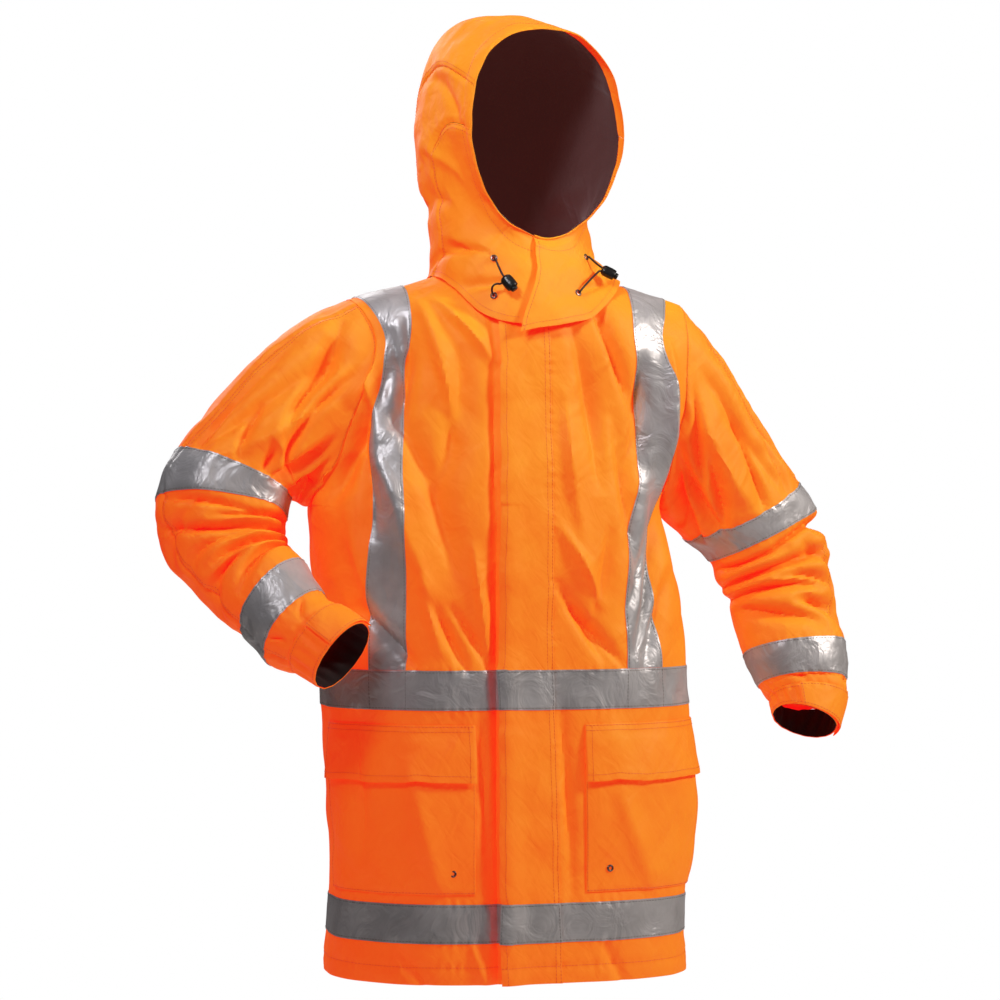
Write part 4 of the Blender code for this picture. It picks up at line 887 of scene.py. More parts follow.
class Shading:
    """A node material in the making."""

    def __init__(self, name: str) -> None:
        """Make an empty material."""
        self.material = bpy.data.materials.new(name)
        self.material.use_nodes = True
        self.tree = self.material.node_tree
        self.shader = self.tree.nodes["Principled BSDF"]

    @cached_property
    def place(self) -> Mapping[str, Socket]:
        """The coordinates to choose from."""
        return self.node("TexCoord").outputs

    def node(self, kind: str, *parts: dict | None) -> bpy.types.Node:
        """Add a node: its kind, then what add_node takes."""
        return add_node(self.tree, "ShaderNode" + kind, *parts)

    def noise(self, scale: float, detail: float, roughness: float, distortion: float = 0.0,
              where: Socket | None = None) -> Socket:
        """Soft noise over the object, or over other coordinates.

        Args:
            scale: Lumps in a metre, about.
            detail: Finer layers over the first one.
            roughness: How strong they are.
            distortion: How far the lumps are bent.
            where: Coordinates to use instead of the object's.

        Returns:
            A share for each place.
        """
        values = {"Scale": scale, "Detail": detail, "Roughness": roughness,
                  "Distortion": distortion}
        links = {"Vector": where or self.place["Object"]}
        return self.node("TexNoise", None, values, links).outputs["Fac"]

    def bump(self, height: Socket, strength: float, distance: float,
             under: Socket | None = None) -> Socket:
        """A relief of some height, laid over another one if it is given.

        Args:
            height: Share of the height at each place.
            strength: How strongly it shows.
            distance: The whole height, in metres.
            under: Normal of the relief below it.

        Returns:
            The normal.
        """
        links = {"Height": height}
        if under is not None:
            links["Normal"] = under
        return self.node("Bump", None, {"Strength": strength, "Distance": distance},
                         links).outputs["Normal"]

    def blend(self, first: str, second: str, share: Socket) -> None:
        """Colour the shader between two colours."""
        colour = self.node("Mix", {"data_type": "RGBA"},
                           {"A": linear(first), "B": linear(second)}, {"Factor": share})
        self.tree.links.new(colour.outputs["Result"], self.shader.inputs["Base Color"])

    def spread(self, share: Socket, low: float, high: float) -> Socket:
        """A share stretched from between two values to between nothing and one."""
        return self.node("MapRange", None, {"From Min": low, "From Max": high},
                         {"Value": share}).outputs["Result"]

    def finish(self, relief: Socket | None, values: dict[str, object]) -> Material:
        """Finish the shader.

        Args:
            relief: The normal it takes, if any.
            values: Its unlinked inputs by name.

        Returns:
            The material.
        """
        if relief is not None:
            self.tree.links.new(relief, self.shader.inputs["Normal"])
        for name, value in values.items():
            self.shader.inputs[name].default_value = value
        return self.material


@dataclass(frozen=True)
class HiVisOxford:
    """Polyester oxford cloth dyed fluorescent orange, with a coat on its back.

    The red-orange glow is painted light: the cloth gives it off at the same strength in light and
    in shade, in place of the dye's fluorescence, so shaded folds go deep red rather than grey; the
    filament yarn is faintly glossy and the coat makes the cloth hold creases.
    """

    lit: str = "8CA01A"
    deep: str = "8C9218"
    # The glow and its strength are a painted glow, the same in light and shade; lit and deep are
    # base colours mixed at random, low in red because the glow gives the red.
    glow: str = "FF0E16"
    glow_strength: float = 0.74
    roughness: float = 0.62
    specular: float = 0.22
    thread: float = 1.3 * MM
    thread_relief: float = 0.08 * MM
    crease_size: float = 60.0 * MM
    crease_relief: float = 2.4 * MM
    wave_repeat: float = 0.314

    def make(self) -> Material:
        """Build the material.

        The weave is two crossed sets of ribs in the piece's own UV, drawn at more than twice the
        thread's real 0.5 mm so that it shows.  The handling creases are stretched soft noise in
        object space, laid over a finer one.
        """
        made = Shading("fluorescent_oxford")
        ribs = {"Scale": self.wave_repeat / self.thread, "Distortion": 0.4, "Detail": 0.0}
        flat = {"Vector": made.place["UV"]}
        warp, weft = (made.node("TexWave", {"bands_direction": way}, ribs, flat) for way in "XY")
        weave = made.node("Math", {"operation": "MULTIPLY"}, None,
                          {0: warp.outputs["Fac"], 1: weft.outputs["Fac"]})
        slant, cross = (
            made.node("Mapping", {"vector_type": "TEXTURE"},
                      {"Rotation": turn, "Scale": stretch}, {"Vector": made.place["Object"]})
            for turn, stretch in (((0.0, 0.75, 0.3), (0.6, 1.0, 1.7)),
                                  ((0.0, -0.65, 0.2), (0.6, 1.0, 1.6))))
        folds = made.noise(1.0 / self.crease_size, 2.0, 0.5, 0.9, slant.outputs["Vector"])
        rumple = made.noise(2.6 / self.crease_size, 2.0, 0.5, 0.7, cross.outputs["Vector"])
        coarse = made.bump(folds, 0.8, 2.0 * self.crease_relief)
        middle = made.bump(rumple, 0.8, 0.6 * self.crease_relief, coarse)
        fine = made.bump(weave.outputs["Value"], 0.5, self.thread_relief, middle)
        tone = made.noise(7.0, 3.0, 0.6)
        made.blend(self.deep, self.lit, made.spread(tone, 0.3, 0.7))
        # The emission is a painted glow that keeps shaded folds red whatever light falls on them.
        return made.finish(fine, {
            "Roughness": self.roughness, "Specular IOR Level": self.specular,
            "Emission Color": linear(self.glow), "Emission Strength": self.glow_strength})


@dataclass(frozen=True)
class GlassBeadTape:
    """Grey retroreflective tape: glass beads in a silvered film on a polyester backing.

    The beads make it bright where it faces the light and a mid grey elsewhere; the stiff film
    takes small sharp creases of its own.
    """

    name: str = "glass_bead_tape"
    light: str = "C6C0C0"
    dark: str = "ACA6A6"
    roughness: float = 0.42
    metallic: float = 0.30
    bead: float = 1.6 * MM
    bead_relief: float = 0.12 * MM
    crease_size: float = 48.0 * MM
    crease_relief: float = 4.5 * MM

    def make(self) -> Material:
        """Build the material; the beads are drawn many times their real 0.06 mm."""
        made = Shading(self.name)
        beads = made.node("TexVoronoi", None, {"Scale": 1.0 / self.bead, "Randomness": 0.6},
                          {"Vector": made.place["UV"]})
        folds = made.noise(1.0 / self.crease_size, 3.0, 0.55, 1.6)
        tone = made.noise(16.0, 4.0, 0.65)
        coarse = made.bump(folds, 0.8, self.crease_relief)
        fine = made.bump(beads.outputs["Distance"], 0.25, self.bead_relief, coarse)
        made.blend(self.dark, self.light, made.spread(tone, 0.32, 0.68))
        return made.finish(fine, {"Roughness": self.roughness, "Metallic": self.metallic})


@dataclass(frozen=True)
class PlainFinish:
    """A woven, braided, spun or moulded finish of one colour with a fine grain."""

    name: str
    colour: str
    second: str
    roughness: float
    grain: float
    relief: float
    metallic: float = 0.0
    sheen: float = 0.0
    # A painted glow of the finish's own colour, the same in light and shade.
    glow: float = 0.0

    def make(self) -> Material:
        """Build the material: fine noise at the grain's size for both tone and relief."""
        made = Shading(self.name)
        grain = made.noise(1.0 / self.grain, 3.0, 0.6)
        made.blend(self.colour, self.second, grain)
        values = {"Roughness": self.roughness, "Metallic": self.metallic,
                  "Sheen Weight": self.sheen}
        # The emission is painted light: the finish shines its own colour without any lamp.
        if self.glow > 0.0:
            values |= {"Emission Color": linear(self.colour), "Emission Strength": self.glow}
        return made.finish(made.bump(grain, 0.5, self.relief), values)


@dataclass
class Finishes:
    """Every finish of the parka, made once."""

    cloth: Material
    tape: Material
    lining: Material
    cuff_lining: Material
    zip_tape: Material
    moulded: Material
    cord: Material
    plated: Material
    thread: Material
    tape_thread: Material

    @staticmethod
    def make() -> "Finishes":
        """Build all of them."""
        plain = {
            # The hood lining's and the orange thread's glows are painted light of their own
            # colours.
            "lining": PlainFinish("woven_lining", "44201D", "2E1413", 0.75, 3.0 * MM, 0.3 * MM,
                                  sheen=0.2, glow=0.5),
            "cuff_lining": PlainFinish("woven_cuff_lining", "150B0B", "0C0707", 0.85, 3.0 * MM,
                                       0.3 * MM),
            "zip_tape": PlainFinish("woven_zip_tape", "1A1616", "0E0C0C", 0.8, 2.0 * MM,
                                    0.2 * MM),
            "moulded": PlainFinish("moulded_nylon", "1C1A19", "100F0F", 0.32, 1.5 * MM,
                                   0.05 * MM),
            "cord": PlainFinish("braided_elastic", "3A0E0C", "1C0706", 0.6, 0.9 * MM, 0.15 * MM),
            "plated": PlainFinish("plated_brass", "9A7F74", "6E564E", 0.3, 2.0 * MM, 0.03 * MM,
                                  metallic=0.9),
            "thread": PlainFinish("polyester_thread", "F0642A", "D8481A", 0.5, 1.0 * MM,
                                  0.05 * MM, glow=0.05),
            "tape_thread": PlainFinish("polyester_thread_grey", "8C7A76", "6E5E5C", 0.5,
                                       1.0 * MM, 0.05 * MM),
        }
        return Finishes(HiVisOxford().make(), GlassBeadTape().make(),
                        **{name: finish.make() for name, finish in plain.items()})


# --- The master surfaces ---

@dataclass
class BodyForm:
    """The surface of the two fronts and the back.

    Across a level it is a superellipse from the centre line to the side seam.  Above the
    underarm the section opens to the armhole's curve, and near the top each row climbs as a
    second superellipse to the shoulder line, which leaves room for the neck.
    """

    levels: Row = (-0.866, -0.815, -0.766, -0.754, -0.685, -0.615, -0.557, -0.543,
                                 -0.525, -0.475, -0.420, -0.365, -0.315, -0.270)
    armhole_steps: int = 8
    shoulder_tip: float = -0.005
    ridge_height: float = 0.0487
    ridge_fall: dict = each(Side, (0.253, 0.0), (0.149, 0.42))
    roundness: dict = each(Side, 2.4, 2.7)
    shoulder_round: float = 2.4
    neck_half_width: float = 0.085
    neck_reach: dict = each(Face, 0.110, 0.075)
    armhole_reach: dict = each(Face, 0.085, 0.090)
    side_steps: Row = (0.42, 0.80)
    side_line: int = 11
    crease_gain: float = 2.2
    onset_height: float = 70.0 * MM
    crumple: Crumple = Crumple(seed=11, wavelength=0.15, height=0.0016)
    small_crumple: Crumple = Crumple(seed=5, wavelength=0.050, height=0.00075)

    @property
    def underarm_row(self) -> int:
        """Row of the underarm."""
        return len(self.levels) - 1

    @property
    def top_row(self) -> int:
        """Row of the shoulder line."""
        return self.underarm_row + self.armhole_steps

    @property
    def middle(self) -> float:
        """Height of the armhole's middle."""
        return 0.5 * (self.levels[-1] + self.shoulder_tip)

    @property
    def rise(self) -> float:
        """Half the armhole's height."""
        return 0.5 * (self.shoulder_tip - self.levels[-1])

    def level_at(self, rows: Array) -> Array:
        """Level of a row coordinate: straight between levels, then round the armhole."""
        plain = np.interp(rows, np.arange(len(self.levels)), self.levels)
        share = clamp((rows - self.underarm_row) / self.armhole_steps)
        round_ = self.middle - self.rise * np.cos(math.pi * share)
        return np.where(rows > self.underarm_row, round_, plain)

    def shoulder_line(self, x: Array, side: Side) -> Array:
        """Height of the shoulder line at a distance from the centre."""
        fall, steepening = self.ridge_fall[side]
        return self.ridge_height - fall * x - steepening * x ** 2

    def turns(self, level: Array, columns: Array, side: Side, face: Face) -> Array:
        """Turn about the section for every row and column: 0 at the centre, a quarter at the side.

        Args:
            level: Level of each row.
            columns: Column coordinate of each column, 0 at the centre line.
            side: The side they are on.
            face: Front or back.

        Returns:
            Turns in radians, one row for each level.
        """
        half = BODY_SECTIONS.read("half_" + side.word, level)
        front = LINES_LEFT if side is Side.LEFT else LINES_RIGHT
        table = front
        if face is Face.BACK:
            table = Table(LINE_NAMES, LINES_BACK.rows + (front.rows[-1],))
        edges = [table.read(name, level) for name in LINE_NAMES[1:]]
        places = [0.0 * half, 0.5 * edges[0], *edges[:5], 0.5 * (edges[4] + edges[5]), edges[5]]
        power = self.roundness[side] / 2.0
        turns = [np.arcsin(np.minimum(place / half, 0.995) ** power) for place in places]
        last = turns[-1]
        turns += [last + step * (math.pi / 2 - last) for step in self.side_steps]
        turns.append(np.full_like(last, math.pi / 2))
        lines = np.stack(turns, axis=1)
        line = np.clip(np.abs(columns), 0.0, self.side_line)
        low = np.minimum(line.astype(int), self.side_line - 1)
        part = line - low
        return lines[:, low] * (1.0 - part) + lines[:, low + 1] * part

    def half_points(self, rows: Array, columns: Array, side: Side, face: Face) -> Array:
        """Points of one side of the front or back.

        Args:
            rows: Row coordinates.
            columns: Column coordinates.
            side: The side they are on.
            face: Front or back.

        Returns:
            Points, rows by columns by three.
        """
        flat_level = self.level_at(rows)
        turn = self.turns(flat_level, columns, side, face)
        level = flat_level[:, None]
        depth_name = face.name.lower()
        half = BODY_SECTIONS.read("half_" + side.word, level)
        power = self.roundness[side]
        across = np.sin(turn) ** (2.0 / power)
        round_fall = np.abs(np.cos(turn)) ** (2.0 / power)
        flat_fall = 1.0 - across ** power
        angle = np.arccos(np.clip((self.middle - level) / self.rise, -1.0, 1.0))
        rising = np.minimum(angle, math.pi / 2)
        above = level > self.levels[-1] + 1e-9
        onset = clamp((level - self.levels[-1]) / self.onset_height)
        onset = smoothstep(onset)
        outer = clamp((np.abs(columns) - self.side_line + 2.0) / 2.0)[None, :]
        onset = outer + (1.0 - outer) * onset
        edge = np.where(above, self.armhole_reach[face] * np.sin(rising), 0.0) * onset
        share = np.where(above, np.sin(rising) ** 2, 0.0) * onset
        chest = BODY_SECTIONS.read(depth_name, np.minimum(level, self.middle))
        fall = (1.0 - share) * round_fall + share * flat_fall
        forward = edge + (chest - edge) * fall
        x = half * across
        bow = np.sqrt(clamp(1.0 - (x / self.neck_half_width) ** 2))
        neck_share = clamp(self.neck_reach[face] * bow / forward)
        top = (1.0 - neck_share ** self.shoulder_round) ** (1.0 / self.shoulder_round)
        climb = clamp((level - self.middle) / self.rise) * top
        ridge = self.shoulder_line(x, side)
        z = np.where(level > self.middle, self.middle + (ridge - self.middle) * climb, level)
        lean = (1.0 - climb ** self.shoulder_round) ** (1.0 / self.shoulder_round)
        return np.stack([side.value * x, face.value * forward * lean, z + 0.0 * x], axis=-1)

    def points(self, rows: Array, columns: Array, face: Face) -> Array:
        """Points over both sides; columns below nothing are the wearer's right."""
        right = self.half_points(rows, columns[columns < 0.0], Side.RIGHT, face)
        left = self.half_points(rows, columns[columns >= 0.0], Side.LEFT, face)
        return np.concatenate([right, left], axis=1)

    def master(self, face: Face, pitch: float) -> Grid:
        """The whole front or back with its creases and crumple.

        Args:
            face: Front or back.
            pitch: The grid's step in metres.

        Returns:
            The fine grid.
        """
        marks_r = np.arange(self.top_row + 1.0)
        marks_c = np.arange(-self.side_line, self.side_line + 1.0)
        rows, columns = lattice(self.points(marks_r, marks_c, face), marks_r, marks_c, pitch)
        plain = Grid(self.points(rows, columns, face), rows, columns,
                     np.array([0.0, face.value, 0.0]))
        to_side = clamp((self.side_line - np.abs(columns)) / 2.0)
        to_top = clamp((self.top_row - rows) / 2.0)
        creases = FRONT_CREASES if face is Face.FRONT else BACK_CREASES
        relief = creases.relief(plain.points[..., 0], plain.points[..., 2], self.crease_gain)
        relief = relief * to_top[:, None] * to_side[None, :]
        relief = relief + self.crumple.at(plain.points) + self.small_crumple.at(plain.points)
        return plain.raised(relief)


@dataclass
class SleeveForm:
    """One sleeve: oval rings between the arm's outer and inner lines.

    Its first rings bend from the oval to the armhole's own curve.
    """

    side: Side
    roundness: float = 2.15
    blend: float = 2.0
    crease_gain: float = 2.3
    last: float = 9.0
    crease_onset: tuple[float, float] = (0.8, 0.5)
    crumple_onset: tuple[float, float] = (0.5, 0.4)
    crumple: Crumple = Crumple(seed=23, wavelength=0.11, height=0.0016)
    small_crumple: Crumple = Crumple(seed=31, wavelength=0.045, height=0.0008)

    def line(self, edge: str, stations: Array) -> Array:
        """Points of the arm's outer ("out") or inner ("in") line."""
        table = SLEEVE_TABLES[self.side]
        return np.stack([table.read(f"{edge}_{axis}", stations) for axis in "xyz"], axis=-1)

    def rings(self, stations: Array, degrees: Array) -> Array:
        """Plain oval rings.

        Args:
            stations: Place along the arm of each ring.
            degrees: Angle of each column: 0 inner, 90 front, 180 outer.

        Returns:
            Points, stations by columns by three.
        """
        outer = self.line("out", stations)
        inner = self.line("in", stations)
        step = 0.05
        ahead = self.line("out", stations + step) + self.line("in", stations + step)
        behind = self.line("out", stations - step) + self.line("in", stations - step)
        half = 0.5 * (outer - inner)
        front = unit(np.cross(ahead - behind, half))
        front = front * -np.sign(front[:, 1:2])
        share = np.minimum(stations / self.blend, 1.0)[:, None]
        front = unit(share * front + (1.0 - share) * np.array([0.0, -1.0, 0.0]))
        depth = SLEEVE_TABLES[self.side].read("half_depth", stations)[:, None, None]
        angle = np.radians(degrees)
        power = 2.0 / self.roundness
        across = -rounded_off(np.cos(angle), power)[None, :, None]
        forward = rounded_off(np.sin(angle), power)[None, :, None]
        centre = 0.5 * (outer + inner)[:, None]
        return centre + across * half[:, None] + depth * forward * front[:, None]

    def armhole(self, degrees: Array, front: Grid, back: Grid, body: BodyForm) -> Array:
        """The armhole's curve: up the front's edge, then down the back's."""
        share = degrees / 180.0
        column = np.full(len(degrees), self.side.value * body.side_line)
        rows_up = body.underarm_row + body.armhole_steps * clamp(share)
        rows_down = body.underarm_row + body.armhole_steps * clamp(2.0 - share)
        up = front.along(rows_up, column)[0]
        down = back.along(rows_down, column)[0]
        return np.where(share[:, None] <= 1.0, up, down)

    def fade(self, stations: Array, last: float, onset: tuple[float, float]) -> Array:
        """A share that comes in from the armhole and goes out to a last station."""
        return clamp(stations / onset[0]) * clamp((last - stations) / onset[1])

    def master(self, armhole: Callable[[Array], Array], stations: Array,
               degrees: Array) -> Grid:
        """The sleeve with its creases and crumple.

        Args:
            armhole: Gives the armhole's points at angles in degrees.
            stations: Place along the arm of each ring.
            degrees: Angle of each column.

        Returns:
            The fine grid, closed round the arm.
        """
        bend = armhole(degrees) - self.rings(np.array([0.0]), degrees)[0]
        share = clamp(1.0 - stations / self.blend)
        share = smoothstep(share)
        points = self.rings(stations, degrees) + bend[None] * share[:, None, None]
        outward = points - points.mean(axis=1, keepdims=True)
        plain = Grid(points, stations, degrees, outward, closed=True)
        relief = SLEEVE_CREASES[self.side].relief(degrees[None, :], stations[:, None],
                                                  self.crease_gain)
        relief = relief * self.fade(stations, self.last, self.crease_onset)[:, None]
        crumple = self.crumple.at(points) + self.small_crumple.at(points)
        ease = self.fade(stations, self.last + 0.6, self.crumple_onset)
        return plain.raised(relief + crumple * ease[:, None])


@dataclass
class HoodForm:
    """The hood: rings from its hem on the shoulders, round the neck and head, to the face."""

    body: BodyForm
    angles: Row = (0.0, 11.0, 25.0, 42.0, 60.0, 76.0, 90.0)
    seat: float = 3.4 * MM
    count: int = 24
    crease_gain: float = 2.2
    rim_width: float = 22.0 * MM
    rim_rise: float = 1.5 * MM
    rim_ring: float = 13.0
    ring_step: float = 40.0 * MM
    seam_end: float = 12.4
    seam_pull: float = 0.5 * MM
    skirt_blend: float = 3.0 * MM
    crumple: Crumple = Crumple(seed=47, wavelength=0.12, height=0.0012)
    small_crumple: Crumple = Crumple(seed=53, wavelength=0.05, height=0.0006)

    def degrees(self, rings: Array, columns: Array) -> Array:
        """Angle about each ring for each column; columns count round to the left from the front."""
        crown = HOOD_RINGS.read("crown_angle", rings)[:, None]
        fixed = np.array(self.angles)[None, :] + 0.0 * crown
        steps = np.arange(5)[None, :] / 4.0
        half = np.concatenate([fixed, 0.5 * (self.angles[-1] + crown),
                               crown + (180.0 - crown) * steps], axis=1)
        turn = (columns + 0.5 * self.count) % self.count - 0.5 * self.count
        line = np.abs(turn)
        low = np.minimum(line.astype(int), half.shape[1] - 2)
        part = line - low
        return np.sign(turn) * (half[:, low] * (1.0 - part) + half[:, low + 1] * part)

    def floor(self, x: Array, y: Array) -> Array:
        """Height at which the hood's skirt lies clear of the shoulders."""
        body = self.body
        left = x > 0.0
        front = y < 0.0

        def section(where: Array, first: str, second: str) -> Array:
            return np.where(where, *(BODY_SECTIONS.read(name, body.middle)
                                     for name in (first, second)))

        reach = np.where(front, body.armhole_reach[Face.FRONT], body.armhole_reach[Face.BACK])
        power = np.where(left, body.roundness[Side.LEFT], body.roundness[Side.RIGHT])
        share = clamp(np.abs(x) / section(left, "half_left", "half_right")) ** power
        depth = reach + (section(front, "front", "back") - reach) * (1.0 - share)
        lean = clamp(np.abs(y) / (depth + self.seat))
        climb = (1.0 - lean ** body.shoulder_round) ** (1.0 / body.shoulder_round)
        ridge = np.where(left, body.shoulder_line(np.abs(x), Side.LEFT),
                         body.shoulder_line(np.abs(x), Side.RIGHT))
        return body.middle + (ridge + self.seat - body.middle) * climb

    def points(self, rings: Array, columns: Array) -> Array:
        """Plain points: a superellipse for each ring, tilted, turned and laid on the shoulders."""
        angle = np.radians(self.degrees(rings, columns))
        value = {name: HOOD_RINGS.read(name, rings)[:, None] for name in HOOD_RINGS.names[1:]}
        power = 2.0 / np.where(np.cos(angle) > 0.0, value["front_round"], value["back_round"])
        forward = rounded_off(np.cos(angle), power)
        across = rounded_off(np.sin(angle), power)
        x = np.where(across > 0.0, value["half_left"], value["half_right"]) * across
        y, z = (0.5 * (value["front_" + axis] + value["back_" + axis])
                + 0.5 * (value["front_" + axis] - value["back_" + axis]) * forward
                for axis in "yz")
        z = z + value["lift"] * np.abs(np.sin(angle)) ** 3
        turn = np.radians(value["turn"])
        turned_x = x * np.cos(turn) - y * np.sin(turn)
        turned_y = x * np.sin(turn) + y * np.cos(turn)
        floor = self.floor(turned_x, turned_y)
        over = z - floor
        smooth = floor + 0.5 * (over + np.sqrt(over ** 2 + self.skirt_blend ** 2))
        return np.stack([turned_x, turned_y, smooth], axis=-1)

    def grid(self, rings: Array, columns: Array, closed: bool = False) -> Grid:
        """The hood's surface with its creases and crumple over some rings and columns."""
        points = self.points(rings, columns)
        centre = np.array([0.0, 0.0, 0.15])
        plain = Grid(points, rings, columns, points - centre, closed)
        degrees = self.degrees(rings, columns)
        relief = HOOD_CREASES.relief(degrees, rings[:, None], self.crease_gain)
        relief = relief + self.crumple.at(points) + self.small_crumple.at(points)
        relief = relief + self.rim(rings)[:, None]
        starts = {-6.0: 0.0, 6.0: 0.0, 18.0: 0.0, 8.0: 6.0, 16.0: 6.0}
        seams = [Seam("column", at, start, self.seam_end, SEAM_GROOVE)
                 for at, start in starts.items()]
        seams.append(Seam("row", 6.0, 8.0, 16.0, SEAM_GROOVE))
        return plain.raised(relief + seam_relief(plain, seams, self.seam_pull))

    def rim(self, rings: Array) -> Array:
        """Height of the cord channel round the face: a low round roll just inside the edge."""
        away = (self.rim_ring - rings) * self.ring_step
        share = clamp(away / self.rim_width)
        return self.rim_rise * np.sin(math.pi * share) ** 0.7


# --- Sewn pieces ---

@dataclass
class Sewing:
    """Finishes, stitch sizes and marked stitch lines shared by the cloth pieces."""

    finishes: Finishes
    seam_pull: float = 0.8 * MM
    stitch_length: float = 3.0 * MM
    stitch_step: float = 4.4 * MM
    thread_width: float = 0.75 * MM
    band_inset: float = 2.6 * MM
    cloth_runs: list = field(default_factory=list)
    tape_runs: list = field(default_factory=list)

    def cloth(self, shell: Shell, node: str, held: str, finish: Material | None = None,
              slot: str = "hi_vis_cloth", rests_on: str | None = None) -> Item:
        """Args:
            shell: The piece's form.
            node: The solid it takes the place of; its own name starts with it.
            held: How the sheet is held; not used.
            finish: Its material; the outer cloth if none is given.
            slot: Its material slot; not used.
            rests_on: The solid it is sewn down on, if any; not used.

        Returns:
            The piece.
        """
        made = shell.build(node + "_cloth", finish or self.finishes.cloth)
        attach(made, BODY)
        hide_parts(node)
        width, length, area = shell.flat_size()
        LOG.info("%s: flat %.3f x %.3f m, area %.4f", node, width, length, area)
        if rests_on is None:
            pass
        else:
            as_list(rests_on)
        return made

    def band(self, shell: Shell, node: str, rests_on: str,
             edges: Sequence[Edge] = (Edge.LOW, Edge.HIGH)) -> Item:
        """Build a reflective band in place of a node and mark the stitches along its edges."""
        face = shell.grid.raised(shell.outer)
        if shell.grid.closed:
            face = face.opened()
        for edge in edges:
            self.tape_runs.append(face.beside(edge, self.band_inset))
        return self.cloth(shell, node, "laid", self.finishes.tape, "reflective_tape", rests_on)

    def mark(self, face: Grid, edges: Sequence[Edge], *insets: float) -> None:
        """Mark lines of stitches beside some edges of a piece's outer face."""
        for edge in edges:
            for inset in insets:
                self.cloth_runs.append(face.beside(edge, inset))

    def sew(self, name: str) -> None:
        """Make all marked stitches and clear the marks."""
        for runs, finish, slot, word in (
            (self.cloth_runs, self.finishes.thread, "hi_vis_cloth", "cloth"),
            (self.tape_runs, self.finishes.tape_thread, "reflective_tape", "band"),
        ):
            if runs:
                self.stitches(f"stitches_{word}_{name}", runs, finish, slot)
            runs.clear()

    def stitches(self, name: str, runs: Iterable[Array], finish: Material,
                 slot: str) -> Item:
        """Sew lines of short raised stitches.

        Each stitch is a small arched bar: six points across a half round at its two ends and its
        middle, the middle highest, laid along its line and square to the cloth's normal.

        Args:
            name: The object's name.
            runs: Lines as stacks of points and normals.
            finish: Their material.
            slot: Their material slot; not used.

        Returns:
            The stitches as one object.
        """
        vertices = []
        faces = []
        total = 0
        for points, normals in runs:
            length = np.concatenate([[0.0], np.cumsum(spans(points, 0))])
            count = int(length[-1] / self.stitch_step)
            if count < 1:
                continue
            start = (np.arange(count) + 0.2) * self.stitch_step
            place = start[:, None] + np.array([0.0, 0.5, 1.0]) * self.stitch_length
            at = np.stack([np.interp(place, length, points[:, k]) for k in range(3)], axis=-1)
            up = unit(np.stack([np.interp(place, length, normals[:, k]) for k in range(3)],
                               axis=-1))
            along = unit(at[:, -1] - at[:, 0])[:, None, :]
            aside = unit(np.cross(along, up))
            turn = np.radians([0.0, 60.0, 120.0, 180.0])
            size = self.thread_width * np.array([0.35, 0.5, 0.35])[None, :, None, None]
            flat = (aside[:, :, None] * np.cos(turn)[None, None, :, None]
                    + up[:, :, None] * (1.3 * np.sin(turn) - 0.15)[None, None, :, None])
            ring = at[:, :, None] + flat * size
            vertices.append(ring.reshape(-1, 3))
            base = total + 12 * np.arange(count)[:, None, None]
            column = np.arange(3)
            quads = []
            for k in range(2):
                low = 4 * k + column
                quads.append(np.stack([low, low + 1, low + 5, low + 4], axis=-1))
            caps = np.array([[3, 2, 1, 0], [8, 9, 10, 11]])
            cells = np.concatenate(quads + [caps])
            faces.append((base + cells[None]).reshape(-1, 4))
            total += 12 * count
        made = new_mesh(name, np.concatenate(vertices), np.concatenate(faces), finish, None, 80.0)
        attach(made, BODY)
        return made


